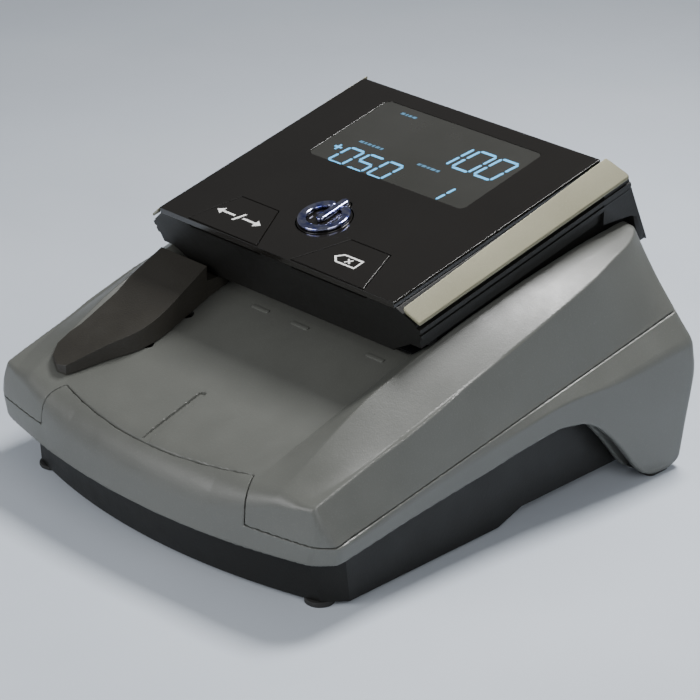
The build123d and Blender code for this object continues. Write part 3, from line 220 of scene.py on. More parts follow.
def make_materials():
    """The material of every slot in the record."""
    made = {}
    # name, colour, drift, roughness, grain, grain depth, specular
    for name, *look in (
            ("grey_plastic", (0.094, 0.097, 0.088), 0.05, 0.40, 2400, 0.000015, 0.55),
            ("black_plastic", (0.008, 0.0078, 0.007), 0.1, 0.44, 2200, 0.00002, 0.28),
            ("guide_plastic", (0.022, 0.020, 0.016), 0.1, 0.5, 2000, 0.00003, 0.5),
            ("path_plastic", (0.014, 0.014, 0.015), 0.05, 0.32, 3000, 0.000008, 0.5),
            ("gear_plastic", (0.68, 0.66, 0.58), 0.03, 0.38, 2500, 0.00001, 0.5),
            ("component_black", (0.02, 0.02, 0.022), 0.1, 0.45, 3000, 0.00001, 0.5)):
        made[name] = moulded(name, *look)

    gloss = Shade("panel_gloss", (0.0085, 0.0075, 0.0065), 0.16)
    gloss.mottle((0.0080, 0.0070, 0.0060), (0.0095, 0.0085, 0.0072), 25)
    gloss.wear(30, 0.13, 0.2)
    gloss.set("Specular IOR Level", 0.45)
    gloss.set("Coat Weight", 0.25)
    gloss.set("Coat Roughness", 0.06)
    gloss.bump(gloss.noise(160, 2), 0.00001)
    made["panel_gloss"] = gloss

    trim = Shade("champagne_trim", (0.19, 0.182, 0.122), 0.46, 0.4)
    trim.mottle((0.17, 0.162, 0.107), (0.21, 0.202, 0.137), 30, (0.30, 0.29, 0.21), 3500, 0.3)
    trim.wear(500, 0.38, 0.50, (14, 1, 1))
    trim.bump(trim.noise(2600, 2, stretch=(6, 1, 1)), 0.000012)
    made["champagne_trim"] = trim

    chrome = Shade("chrome_ring", (0.45, 0.48, 0.66), 0.09, 1.0)
    # Painted reflection: the blotches from deep blue to pale stand in for the dark and bright
    # facets that the ring mirrors; the blue tint itself is the ring's own colour.
    chrome.mottle((0.09, 0.12, 0.46), (0.66, 0.66, 0.76), 420)
    chrome.wear(400, 0.05, 0.16)
    chrome.bump(chrome.noise(620, 2), 0.00009)
    made["chrome_ring"] = chrome

    lcd = Shade("lcd_glass", (0.028, 0.028, 0.025), 0.22)
    lcd.mottle((0.026, 0.026, 0.023), (0.032, 0.032, 0.029), 22, (0.038, 0.041, 0.040), 5000, 0.25)
    lcd.wear(60, 0.18, 0.3)
    lcd.bump(lcd.noise(300, 2), 0.000004)
    made["lcd_glass"] = lcd

    window = Shade("sensor_glass", (0.05, 0.10, 0.11), 0.08)
    window.mottle((0.04, 0.09, 0.10), (0.07, 0.12, 0.13), 60)
    window.wear(200, 0.05, 0.12)
    window.set("Coat Weight", 0.5)
    made["sensor_glass"] = window

    for name, colour, grain in (("foot_rubber", (0.018, 0.018, 0.018), 1800),
                                ("roller_rubber", (0.045, 0.045, 0.05), 1400),
                                ("belt_rubber", (0.02, 0.02, 0.02), 1600)):
        rubber = Shade(name, colour, 0.82)
        rubber.mottle(tuple(c * 0.8 for c in colour), tuple(c * 1.3 for c in colour), 200,
                      tuple(c * 2.2 for c in colour), 3000, 0.4)
        rubber.wear(350, 0.7, 0.92)
        rubber.bump(rubber.noise(grain, 4), 0.00006)
        made[name] = rubber

    steel = Shade("steel", (0.56, 0.56, 0.57), 0.32, 1.0)
    steel.mottle((0.50, 0.50, 0.51), (0.62, 0.62, 0.63), 90)
    steel.wear(260, 0.22, 0.42, (1, 30, 30))
    steel.bump(steel.noise(900, 3, stretch=(1, 22, 22)), 0.00001)
    made["steel"] = steel

    brass = Shade("brass_contact", (0.70, 0.50, 0.22), 0.28, 1.0)
    brass.mottle((0.60, 0.42, 0.17), (0.78, 0.58, 0.28), 300)
    brass.wear(500, 0.2, 0.4)
    made["brass_contact"] = brass

    board = Shade("circuit_board", (0.015, 0.13, 0.05), 0.34)
    traces = board.spread(board.noise(420, 1, 0.2, (1, 5, 1)), 0.49, 0.51, 0, 1)
    colour = board.blend(traces, (0.012, 0.11, 0.042), (0.03, 0.20, 0.075))
    board.join(colour, board.shader.inputs["Base Color"])
    board.wear(120, 0.28, 0.42)
    board.bump(traces, 0.00003)
    made["circuit_board"] = board

    wrap = Shade("battery_wrap", (0.03, 0.10, 0.38), 0.24)
    wrap.mottle((0.025, 0.085, 0.34), (0.04, 0.12, 0.44), 50)
    wrap.wear(140, 0.18, 0.34)
    wrap.bump(wrap.noise(260, 3, stretch=(4, 1, 1)), 0.00008)
    made["battery_wrap"] = wrap
    return made


def glow(name, colour, strength):
    """A lit display segment, a little uneven as through a diffuser."""
    shade = Shade(name, colour, 0.5)
    level = shade.spread(shade.noise(900, 3), 0.3, 0.7, 0.75, 1.0)
    tint = shade.blend(level, tuple(c * 0.7 for c in colour), colour)
    shade.join(tint, shade.shader.inputs["Emission Color"])
    shade.join(tint, shade.shader.inputs["Base Color"])
    shade.set("Emission Strength", strength)
    return shade


def print_ink(name, colour):
    """Matt printing ink."""
    shade = Shade(name, colour, 0.5)
    shade.mottle(tuple(c * 0.86 for c in colour), colour, 1500)
    shade.bump(shade.noise(3000, 2), 0.00001)
    return shade


def dress(piece, slot_name, body, shade=None):
    """Gives a new piece its material, the one of its record slot unless a shade is given, and the
    body that it moves with.
    """
    piece.data.materials.clear()
    piece.data.materials.append((shade or MATERIALS[slot_name]).material)
    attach(piece, body)
    return piece


def dress_cad_nodes():
    """Every CAD node takes the material of its slot in the record."""
    for part in frame["record"]["subparts"]:
        node = frame["nodes"][part["node"]]
        node.data.materials.clear()
        node.data.materials.append(MATERIALS[part["material_slot"]].material)
        for polygon in node.data.polygons:
            polygon.material_index = 0


# ---- mesh helpers --------------------------------------------------------------------------
def new_object(name, mesh):
    piece = bpy.data.objects.new(name, mesh)
    scene.collection.objects.link(piece)
    return piece


def applied(piece, *modifiers):
    """Adds the modifiers, given as (type, settings), and keeps their result as the mesh."""
    for kind, settings in modifiers:
        modifier = piece.modifiers.new(kind.lower(), kind)
        for key, value in settings.items():
            setattr(modifier, key, value)
    graph = bpy.context.evaluated_depsgraph_get()
    mesh = bpy.data.meshes.new_from_object(piece.evaluated_get(graph))
    piece.modifiers.clear()
    piece.data = mesh
    return piece


def soften(mesh, radius, segments, angle):
    """Rounds every edge of the mesh that is sharper than the angle, in degrees."""
    weld, flat = 0.004 * MM, math.radians(0.6)
    work = bmesh.new()
    work.from_mesh(mesh)
    bmesh.ops.remove_doubles(work, verts=work.verts, dist=weld)
    bmesh.ops.dissolve_limit(work, angle_limit=flat, verts=work.verts, edges=work.edges)
    sharp = [e for e in work.edges if len(e.link_faces) == 2
             and e.calc_face_angle(0) > math.radians(angle)]
    bmesh.ops.bevel(work, geom=sharp, offset=radius * MM, offset_type="OFFSET", segments=segments,
                    profile=0.5, affect="EDGES", clamp_overlap=True)
    bmesh.ops.triangulate(work, faces=[f for f in work.faces if len(f.verts) > 4])
    work.to_mesh(mesh)
    work.free()
    mesh.polygons.foreach_set("use_smooth", [True] * len(mesh.polygons))
    mesh.set_sharp_from_angle(angle=math.radians(38))


def rounded_copy(node, radius):
    """A copy of a CAD node with its sharp edges rounded, which stands for it."""
    source = frame["nodes"][node]
    part = next(p for p in frame["record"]["subparts"] if p["node"] == node)
    mesh = source.data.copy()
    mesh.name = node + "_moulded"
    soften(mesh, radius, 3, 24.0)
    piece = new_object(node + "_moulded", mesh)
    applied(piece, ("WEIGHTED_NORMAL", {"keep_sharp": True}))
    dress(piece, part["material_slot"], source["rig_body"])
    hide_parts(node)
    return piece


# ---- the two grey casings, as rounded forms --------------------------------------------------
# Lengths are millimetres here. Each field is a distance outside a surface, negative inside.
VOXEL = 0.6
MOST_TRIANGLES = 150000
WALL = 2.4
EDGE = 0.35              # softness of the casings' edges
JOIN = 0.3               # softness where walls meet
TRAY_HALF = 41.9
TRAY_Y, TRAY_Z, TRAY_SLOPE = -68.0, 35.8, 0.2867
TRAY_TILT = math.atan(TRAY_SLOPE)
INNER_X = 53.3           # the shoulder's inner edge
SEAM_X = 71.0
SEAM_Y, SEAM_Z, SEAM_SLOPE, SEAM_GAP = -64.5, 24.8, 0.183, 0.3
APRON_RADIUS, APRON_Y = 152.3, -73.4
APRON_END = (40.2, -68.0, 44.6, -77.0)
WELL_HALF, WELL_Y, WELL_END_Y, WELL_WALL = 51.8, -8.0, 70.0, 1.6
LEVEL_Y, LEVEL_RUN = 8.0, 24.0
BOSSES = ((58.0, -52.0), (61.0, 30.0))
GROOVE_Y, GROOVE_HALF, GROOVE_RADIUS, GROOVE_DEPTH = -62.0, 10.8, 1.25, 0.75
SLOT_X, SLOT_Y, SLOT_SPREAD = -36.6, -35.0, 8.3
SLOT_HALF, SLOT_RADIUS, SLOT_DEPTH = 4.2, 1.75, 6.0
LEG_INNER_X = 66.3
# y, tray z, shoulder's inner edge z, crease x, crease z, widest x, widest z, foot x
STATIONS = np.array((
    (-84.0, 27.5, 27.0, 66.1, 26.5, 71.0, 20.5, 68.0),
    (-77.5, 33.0, 33.2, 66.1, 31.6, 71.6, 22.4, 68.2),
    (-66.0, 36.4, 38.2, 66.1, 35.4, 72.0, 23.8, 68.4),
    (-52.0, 40.4, 46.3, 66.1, 39.6, 71.8, 25.4, 69.0),
    (-38.0, 44.4, 53.0, 66.1, 43.7, 71.6, 27.6, 69.4),
    (-16.0, 50.7, 59.8, 66.1, 50.3, 71.7, 31.0, 70.2),
    (4.0, 56.4, 64.6, 66.1, 56.2, 72.4, 34.6, 71.0),
    (24.0, 60.0, 68.6, 66.1, 62.2, 73.8, 38.0, 72.2),
    (44.0, 62.0, 72.0, 65.6, 68.3, 76.2, 37.8, 74.0),
    (53.0, 62.0, 73.3, 63.8, 70.8, 77.2, 38.3, 75.0),
    (61.0, 62.0, 74.1, 62.4, 72.2, 77.8, 38.9, 75.6),
    (67.0, 62.0, 74.7, 60.4, 73.2, 78.0, 39.4, 75.8),
    (73.0, 62.0, 75.2, 54.6, 75.0, 78.1, 39.7, 75.8),
    (84.0, 62.0, 77.2, 48.0, 76.9, 78.2, 40.0, 75.8),
))
# z, foremost y, corner x and y, side x and y of the plan at that height
PLAN_LEVELS = np.array((
    (-1.0, -79.5, 65.0, -70.8, 71.8, -65.4),
    (16.0, -79.5, 65.0, -70.8, 71.8, -65.4),
    (25.0, -78.7, 67.0, -71.2, 72.4, -66.0),
    (60.0, -73.5, 66.0, -66.5, 71.0, -61.0),
    (90.0, -73.5, 66.0, -66.5, 71.0, -61.0),
))
REAR_PROFILE = ((73.5, -2.0), (79.5, 44.0), (78.7, 51.0), (70.5, 77.0), (67.5, 95.0))
# y, z of the lower frame's bottom edge, with the arch in front of each leg
BOTTOM_EDGE = np.array((
    (-95.0, 16.0), (-78.0, 16.6), (-66.0, 18.4), (-40.0, 21.9), (-9.0, 25.4), (10.0, 28.4),
    (21.0, 29.9), (31.0, 28.5), (37.0, 25.2), (42.0, 20.6), (46.0, 16.2), (50.0, 11.2),
    (54.0, 6.0), (57.5, 2.9), (62.0, 1.4), (69.0, 1.3), (74.0, 3.6), (95.0, 14.0),
))


def smooth_max(a, b, k):
    h = np.maximum(k - np.abs(a - b), 0.0)
    return np.maximum(a, b) + h * h / (4 * k)


def smooth_min(a, b, k):
    return -smooth_max(-a, -b, k)


def left_of(u, w, u0, w0, u1, w1):
    """Distance to the left of the line from point 0 to point 1."""
    return ((w - w0) * (u1 - u0) - (u - u0) * (w1 - w0)) / np.hypot(u1 - u0, w1 - w0)


def smooth_table(at, values, spread):
    """A function through the table's values, rounded over the given distance."""
    step = 0.25
    fine = np.arange(at[0] - 20, at[-1] + 20, step)
    line = np.interp(fine, at, values)
    first = (values[1] - values[0]) / (at[1] - at[0])
    last = (values[-1] - values[-2]) / (at[-1] - at[-2])
    line = np.where(fine < at[0], values[0] + first * (fine - at[0]), line)
    line = np.where(fine > at[-1], values[-1] + last * (fine - at[-1]), line)
    reach = int(2.5 * spread / step)
    kernel = np.exp(-0.5 * (np.arange(-reach, reach + 1) * step / spread) ** 2)
    smooth = np.convolve(line, kernel / kernel.sum(), mode="same")
    smooth[:reach] = line[:reach]
    smooth[-reach:] = line[-reach:]
    return lambda where: np.interp(where, fine, smooth)


TRACKS = [smooth_table(STATIONS[:, 0], STATIONS[:, column], 3.5) for column in range(1, 8)]
PLAN = [smooth_table(PLAN_LEVELS[:, 0], PLAN_LEVELS[:, column], 1.5) for column in range(1, 6)]
bottom_edge = smooth_table(BOTTOM_EDGE[:, 0], BOTTOM_EDGE[:, 1], 1.2)


def seam_z(y):
    return SEAM_Z + SEAM_SLOPE * (y - SEAM_Y)


def tray_z(y):
    return TRAY_Z + TRAY_SLOPE * (y - TRAY_Y)


def path_z(y):
    """Height of the bill path: the tray's slope, rounded off to level under the head."""
    run = np.clip(y - LEVEL_Y, 0.0, LEVEL_RUN)
    return tray_z(np.minimum(y, LEVEL_Y) + run - run * run / (2 * LEVEL_RUN))


def plan_field(x, y, z):
    """The bowed front, the chamfered corner and the side, seen from above."""
    front, corner_x, corner_y, side_x, side_y = (track(z) for track in PLAN)
    sag = corner_y - front
    radius = (corner_x ** 2 + sag ** 2) / (2 * sag)
    bow = np.hypot(x, y - front - radius) - radius
    corner = -left_of(x, y, corner_x, corner_y, side_x, side_y)
    side = -left_of(x, y, side_x, side_y, side_x + 6.0, 90.0)
    bow = np.where(y > front + radius, -50.0, bow)
    return smooth_max(smooth_max(bow, corner, 1.0), side, 1.2)


def rear_field(y, z):
    """The rear ends of the shoulders and legs, seen from the side."""
    field = -99.0
    for (y0, z0), (y1, z1) in zip(REAR_PROFILE, REAR_PROFILE[1:]):
        field = smooth_max(field, -left_of(y, z, y0, z0, y1, z1), 0.8)
    return field


def body_field(x, y, z):
    """The outside of the whole grey body."""
    x = np.abs(x)
    floor, inner, crease_x, crease, wide_x, wide, foot_x = (track(y) for track in TRACKS)
    seam = np.maximum(wide + 1.0, seam_z(y))
    tray = (z - floor) * math.cos(TRAY_TILT)
    bank = left_of(x, z, TRAY_HALF, floor, INNER_X, inner)
    top = left_of(x, z, INNER_X, inner, crease_x, crease)
    slope = left_of(x, z, crease_x, crease, SEAM_X, seam)
    side = left_of(x, z, SEAM_X, seam, wide_x, wide)
    under = left_of(x, z, wide_x, wide, foot_x, -1.0)
    form = smooth_min(tray, smooth_max(bank, top, 0.4), 0.2)
    form = smooth_max(form, smooth_min(slope, side, 0.6), 0.5)
    form = smooth_max(form, under, 0.4)
    nose_rounding = np.interp(x, (30.0, 44.0, 54.0, 62.0), (7.5, 4.6, 3.0, 1.2))
    form = smooth_max(form, plan_field(x, y, z), nose_rounding)
    return smooth_max(form, rear_field(y, z), 2.6)


def seam_field(x, y, z):
    """What lies above the seam between the two casings."""
    x = np.abs(x)
    beside = z - seam_z(np.maximum(y, -67.0))
    arc = APRON_RADIUS - np.hypot(x, y - APRON_Y - APRON_RADIUS)
    return np.minimum(beside, np.maximum(arc, left_of(x, y, *APRON_END)))


def slab_field(value, low, high):
    return np.maximum(low - value, value - high)


def upper_field(x, y, z):
    """The upper casing: a shell above the seam, open over the well that the bill path lies in."""
    outer = body_field(x, y, z)
    across = np.abs(x)
    shell = smooth_max(outer, -outer - WALL, JOIN)
    shell = smooth_max(shell, -seam_field(x, y, z), EDGE)
    well = np.maximum(across - WELL_HALF, WELL_Y - y)
    shell = smooth_max(shell, -np.maximum(well, 20.0 - z), EDGE)
    walls = slab_field(across, WELL_HALF, WELL_HALF + WELL_WALL)
    walls = np.maximum(walls, slab_field(y, WELL_Y, WELL_END_Y))
    walls = smooth_max(np.maximum(walls, path_z(y) - 1.4 - z), outer, EDGE)
    shell = smooth_min(shell, walls, JOIN)
    for boss_x, boss_y in BOSSES:
        ring = np.hypot(across - boss_x, y - boss_y)
        boss = np.maximum(np.maximum(slab_field(ring, 1.05, 2.3), 30.0 - z), outer + 1.0)
        shell = np.minimum(shell, boss)
    # groove down the middle of the tray, and the slots that the bill guide's pegs run in
    depth = (z - tray_z(y)) * math.cos(TRAY_TILT)
    along = np.maximum(np.abs(y - GROOVE_Y) - GROOVE_HALF, 0.0)
    groove = np.hypot(x, along) - GROOVE_RADIUS
    shell = smooth_max(shell, -np.maximum(groove, -GROOVE_DEPTH - depth), JOIN)
    uphill = (y - SLOT_Y) * math.cos(TRAY_TILT) + (z - tray_z(SLOT_Y)) * math.sin(TRAY_TILT)
    sideways = np.maximum(np.abs(x - SLOT_X) - SLOT_HALF, 0.0)
    for slot_at in (-SLOT_SPREAD, SLOT_SPREAD):
        slot = np.hypot(sideways, uphill - slot_at) - SLOT_RADIUS
        shell = np.maximum(shell, -np.maximum(slot, -SLOT_DEPTH - depth))
    return shell


def lower_field(x, y, z):
    """The lower frame: a band below the seam, with the two rear legs and their feet."""
    outer = body_field(x, y, z)
    across = np.abs(x)
    shell = smooth_max(outer, -outer - WALL, JOIN)
    between = np.maximum(across - LEG_INNER_X, 20.0 - y)
    shell = np.maximum(shell, -between)
    cheek = slab_field(across, LEG_INNER_X, LEG_INNER_X + 1.8)
    cheek = np.maximum(np.maximum(cheek, slab_field(z, 0.0, 46.0)), 40.0 - y)
    foot = np.maximum(np.maximum(LEG_INNER_X - across, 56.0 - y), z - 3.4)
    shell = smooth_min(shell, smooth_max(np.minimum(cheek, foot), outer, 0.5), JOIN)
    shell = smooth_max(shell, seam_field(x, y, z) + SEAM_GAP, EDGE)
    edge = bottom_edge(y)
    steep = (bottom_edge(y + 0.2) - bottom_edge(y - 0.2)) / 0.4
    return smooth_max(shell, (edge - z) / np.sqrt(1 + steep * steep), 0.9)


def slopes(field, points, reach=0.03):
    """Outward unit normals of a field at the points."""
    gradient = np.empty_like(points)
    for axis in range(3):
        shift = np.zeros(3)
        shift[axis] = reach
        gradient[:, axis] = field(*(points + shift).T) - field(*(points - shift).T)
    return gradient / (np.linalg.norm(gradient, axis=1)[:, None] + 1e-9)


def net(field, low, high, step):
    """Points and four-sided faces of the surface where the field is zero.

    Each cell that the surface crosses gets one point, where the tangent planes of its crossings
    meet, so that edges stay straight and crisp.
    """
    axes = [np.arange(a, b + step, step) for a, b in zip(low, high)]
    planes = [field(x, axes[1][:, None], axes[2][None, :]) for x in axes[0]]
    value = np.array(planes, dtype=np.float32)
    inside = value < 0
    rings, solid_first, spots, normals = [], [], [], []
    for axis in range(3):
        one = np.eye(3, dtype=int)
        u, v = (axis + 1) % 3, (axis + 2) % 3
        ahead = np.moveaxis(inside, axis, 0)
        edges = np.argwhere(np.moveaxis(ahead[1:] != ahead[:-1], 0, axis))
        edges = edges[(edges[:, u] > 0) & (edges[:, v] > 0)]
        first, second = value[tuple(edges.T)], value[tuple((edges + one[axis]).T)]
        spot = edges + (first / (first - second))[:, None] * one[axis]
        spot = spot * step + np.array(low)
        spots.append(spot)
        normals.append(slopes(field, spot))
        back_u, back_v = one[u], one[v]
        rings.append(np.stack([edges, edges - back_u, edges - back_u - back_v, edges - back_v], 1))
        solid_first.append(first < 0)
    rings, spots, normals = (np.concatenate(part) for part in (rings, spots, normals))
    flat = np.ravel_multi_index(tuple(rings.reshape(-1, 3).T), value.shape)
    cells, faces = np.unique(flat, return_inverse=True)
    faces = faces.reshape(-1, 4)

    def gathered(amount):
        total = np.zeros(len(cells))
        for corner in range(4):
            total += np.bincount(faces[:, corner], amount, len(cells))
        return total

    count = gathered(np.ones(len(spots)))
    middle = np.stack([gathered(spots[:, i]) / count for i in range(3)], 1)
    offset = (normals * spots).sum(1)
    pull = 0.04
    matrix = np.empty((len(cells), 3, 3))
    for i in range(3):
        for j in range(3):
            matrix[:, i, j] = gathered(normals[:, i] * normals[:, j]) + pull * count * (i == j)
    right = np.stack([gathered(normals[:, i] * offset) + pull * count * middle[:, i]
                      for i in range(3)], 1)
    points = np.linalg.solve(matrix, right[:, :, None])[:, :, 0]
    corner = np.stack(np.unravel_index(cells, value.shape), 1) * step + np.array(low)
    points = np.clip(points, corner, corner + step)
    solid_first = np.concatenate(solid_first)
    return points, np.where(solid_first[:, None], faces, faces[:, ::-1])


def casing(name, node, field, low, high):
    """A casing meshed from its field, thinned, and shaded by the field's own slope."""
    points, faces = net(field, low, high, VOXEL)
    mesh = bpy.data.meshes.new(name)
    mesh.vertices.add(len(points))
    mesh.vertices.foreach_set("co", (points * MM).ravel())
    mesh.loops.add(4 * len(faces))
    mesh.loops.foreach_set("vertex_index", faces.ravel())
    mesh.polygons.add(len(faces))
    mesh.polygons.foreach_set("loop_start", np.arange(len(faces)) * 4)
    mesh.update(calc_edges=True)
    piece = new_object(name, mesh)
    share = MOST_TRIANGLES / (2 * len(faces))
    if share < 1:
        applied(piece, ("DECIMATE", {"ratio": share}))
    mesh = piece.data
    mesh.polygons.foreach_set("use_smooth", [True] * len(mesh.polygons))
    spots = np.empty(len(mesh.vertices) * 3)
    mesh.vertices.foreach_get("co", spots)
    corners = np.empty(len(mesh.loops), int)
    mesh.loops.foreach_get("vertex_index", corners)
    corner_spots = spots.reshape(-1, 3)[corners] / MM
    sizes = np.empty(len(mesh.polygons), int)
    mesh.polygons.foreach_get("loop_total", sizes)
    owner = np.repeat(np.arange(len(sizes)), sizes)
    centres = np.stack([np.bincount(owner, corner_spots[:, i]) / sizes for i in range(3)], 1)
    # the slope a little way into each face, so that a crisp edge keeps two shades
    inward = centres[owner] - corner_spots
    length = np.linalg.norm(inward, axis=1)[:, None] + 1e-9
    seen = corner_spots + inward / length * np.minimum(length, 0.35)
    mesh.normals_split_custom_set(slopes(field, seen, 0.08).tolist())
    dress(piece, "grey_plastic", "base")
    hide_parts(node)
    return piece


def make_casings():
    casing("upper_casing", "upper_shell", upper_field, (-75.0, -80.0, 20.0), (75.0, 81.0, 79.0))
    casing("lower_frame", "bumper_frame", lower_field, (-80.5, -81.5, -1.0), (80.5, 81.5, 56.0))


# ---- the head's panel ------------------------------------------------------------------------
# Panel coordinates are millimetres: x to the right, v up the slope, w above the glass.
PANEL_TILT = math.radians(12.3)
PANEL_FRONT = (-22.9, 76.0)
LCD_TOP = -0.15
KEY_TOP = 0.05
POWER_V = 21.5


def panel_point(x, v, w):
    y = PANEL_FRONT[0] + v * math.cos(PANEL_TILT) - w * math.sin(PANEL_TILT)
    z = PANEL_FRONT[1] + v * math.sin(PANEL_TILT) + w * math.cos(PANEL_TILT)
    return Vector((x, y, z)) * MM


def rounded_outline(points, radius, steps=4):
    """A polygon with an arc at each corner."""
    outline = []
    for index, corner in enumerate(points):
        corner = Vector(corner)
        before = (Vector(points[index - 1]) - corner).normalized()
        after = (Vector(points[(index + 1) % len(points)]) - corner).normalized()
        half = before.angle(after) / 2
        start = corner + before * radius / math.tan(half)
        end = corner + after * radius / math.tan(half)
        for step in range(steps + 1):
            share = step / steps
            near = start.lerp(corner, share).lerp(corner.lerp(end, share), share)
            outline.append(tuple(near))
    return outline


def prism(work, outline, low, high, place=panel_point):
    """Adds a solid between two heights whose plan is the outline."""
    bottom = [work.verts.new(place(x, v, low)) for x, v in outline]
    top = [work.verts.new(place(x, v, high)) for x, v in outline]
    work.faces.new(bottom[::-1])
    work.faces.new(top)
    count = len(outline)
    for i in range(count):
        j = (i + 1) % count
        work.faces.new((bottom[i], bottom[j], top[j], top[i]))


def frame_prism(work, outer, inner, low, high):
    """Adds a closed frame between two outlines with the same number of points."""
    rings = [[work.verts.new(panel_point(x, v, w)) for x, v in outline]
             for outline, w in ((outer, low), (outer, high), (inner, high), (inner, low))]
    count = len(outer)
    for ring, following in zip(rings, rings[1:] + rings[:1]):
        for i in range(count):
            j = (i + 1) % count
            work.faces.new((ring[i], ring[j], following[j], following[i]))


def solid_piece(name, build):
    """An object from a function that fills a bmesh, with its faces turned outwards."""
    work = bmesh.new()
    build(work)
    bmesh.ops.recalc_face_normals(work, faces=work.faces)
    mesh = bpy.data.meshes.new(name)
    work.to_mesh(mesh)
    work.free()
    return new_object(name, mesh)


SEGMENT_ENDS = {"a": ((0, 2), (1, 2)), "b": ((1, 2), (1, 1)), "c": ((1, 1), (1, 0)),
                "d": ((0, 0), (1, 0)), "e": ((0, 1), (0, 0)), "f": ((0, 2), (0, 1)),
                "g": ((0, 1), (1, 1))}
DIGIT_SEGMENTS = {"0": "abcdef", "1": "bc", "5": "afgcd"}


def digit_outlines(digit, x, v, width, height, thick):
    """The lit bars of one slanted seven-segment digit whose lower left corner is at x, v."""
    slant = 0.16
    outlines = []
    for segment in DIGIT_SEGMENTS[digit]:
        ends = []
        for across, up in SEGMENT_ENDS[segment]:
            rise = up * height / 2
            ends.append(Vector((x + across * width + slant * rise, v + rise)))
        along = (ends[1] - ends[0]).normalized()
        beside = Vector((-along.y, along.x)) * thick / 2
        gap = along * thick * 0.62
        tip = along * thick * 0.42
        a, b = ends[0] + gap, ends[1] - gap
        outlines.append([tuple(p) for p in (a - tip, a - beside, b - beside, b + tip,
                                            b + beside, a + beside)])
    return outlines


def cross_outline(x, v, reach, thick, turn):
    """A plus sign, or a cross when turned by 45 degrees."""
    outline = []
    for quarter in range(4):
        for u, w in ((thick / 2, thick / 2), (reach, thick / 2), (reach, -thick / 2)):
            angle = -quarter * math.pi / 2 + turn
            outline.append((x + u * math.cos(angle) - w * math.sin(angle),
                            v + u * math.sin(angle) + w * math.cos(angle)))
    return outline


def arrow_outline(x0, x1, v, half, thick):
    """An arrow from x0 to x1."""
    neck = x1 - math.copysign(1.5 * half, x1 - x0)
    return [(x0, v - thick / 2), (neck, v - thick / 2), (neck, v - half), (x1, v),
            (neck, v + half), (neck, v + thick / 2), (x0, v + thick / 2)]


def make_display():
    """Numbers and small marks that light up behind the display window."""
    low, high = LCD_TOP, LCD_TOP + 0.05

    def numbers(work):
        for digit, x in (("1", 3.6), ("0", 12.6), ("0", 21.4)):
            for outline in digit_outlines(digit, x, 62.6, 6.6, 11.0, 1.0):
                prism(work, outline, low, high)
        for outline in digit_outlines("1", 16.6, 46.4, 4.6, 7.8, 0.95):
            prism(work, outline, low, high)
        for digit, x in (("0", -23.6), ("5", -15.4), ("0", -7.2)):
            for outline in digit_outlines(digit, x, 46.4, 5.8, 8.8, 0.95):
                prism(work, outline, low, high)
        prism(work, cross_outline(-26.0, 53.4, 1.5, 0.8, 0), low, high)

    def marks(work):
        height, slant, gap = 1.0, 0.2, 0.5
        for x, v, lengths in ((-23.0, 77.6, (1.4, 0.8, 1.1, 1.4)),
                              (2.6, 58.0, (1.2, 1.6, 1.0, 1.8, 1.1)),
                              (-22.6, 58.8, (1.6, 0.9, 1.3, 1.0, 1.5, 0.9))):
            for length in lengths:
                outline = [(x, v), (x + length, v),
                           (x + length + slant, v + height), (x + slant, v + height)]
                prism(work, outline, low, high)
                x += length + gap

    lit = solid_piece("display_numbers", numbers)
    dress(lit, "lcd_glass", "head", glow("display_lit", (0.075, 0.33, 0.60), 0.9))
    dim = solid_piece("display_marks", marks)
    dress(dim, "lcd_glass", "head", glow("display_dim", (0.05, 0.14, 0.23), 0.45))


def make_key_marks():
    """White pictograms: back and forward on the left key, clear on the right one."""
    low, high = KEY_TOP, KEY_TOP + 0.06
    ink = print_ink("key_ink", (0.80, 0.80, 0.78))

    def direction(work):
        prism(work, arrow_outline(-24.8, -32.4, 8.7, 1.6, 0.75), low, high)
        prism(work, [(-24.3, 6.6), (-23.4, 6.6), (-21.7, 10.8), (-22.6, 10.8)], low, high)
        prism(work, arrow_outline(-21.4, -13.8, 8.7, 1.6, 0.75), low, high)

    def clear(work):
        outer = [(17.0, 8.6), (19.3, 6.4), (27.0, 6.4), (27.0, 10.8), (19.3, 10.8)]
        inner = [(17.95, 8.6), (19.6, 7.0), (26.4, 7.0), (26.4, 10.2), (19.6, 10.2)]
        frame_prism(work, outer, inner, low, high)
        prism(work, cross_outline(22.9, 8.6, 1.35, 0.55, math.pi / 4), low, high)

    for name, build, body in (("direction_mark", direction, "reverse_key"),
                              ("clear_mark", clear, "clear_key")):
        mark = solid_piece(name, build)
        dress(mark, "panel_gloss", body, ink)


def sweep(work, path, half_width, bottom, top):
    """Adds a bar with a rounded section and rounded ends along a path in the panel's plane."""
    around, cap = 28, 7
    stops = []
    first, last = (path[0] - path[1]).normalized(), (path[-1] - path[-2]).normalized()
    for step in range(cap):
        angle = math.pi / 2 * step / cap
        reach, scale = half_width * math.cos(angle), math.sin(angle)
        stops.append((path[0] + first * reach, first, max(scale, 0.02)))
    for index, point in enumerate(path):
        behind, ahead = path[max(index - 1, 0)], path[min(index + 1, len(path) - 1)]
        stops.append((point, (behind - ahead).normalized(), 1.0))
    for centre, _, scale in reversed(stops[:cap]):
        offset = centre - path[0]
        stops.append((path[-1] + last * offset.length, -last, scale))
    middle, half_height = (bottom + top) / 2, (top - bottom) / 2
    rings = []
    for centre, back, scale in stops:
        beside = Vector((-back.y, back.x))
        ring = []
        for step in range(around):
            angle = 2 * math.pi * step / around
            c, s = math.cos(angle), math.sin(angle)
            across = half_width * scale * math.copysign(abs(c) ** 0.72, c)
            up = half_height * math.copysign(abs(s) ** 0.72, s) * (0.35 + 0.65 * scale)
            spot = centre + beside * across
            ring.append(work.verts.new(panel_point(spot.x, spot.y, middle + up)))
        rings.append(ring)
    for ring, following in zip(rings, rings[1:]):
        for i in range(around):
            j = (i + 1) % around
            work.faces.new((ring[i], ring[j], following[j], following[i]))
    work.faces.new(rings[0])
    work.faces.new(rings[-1])


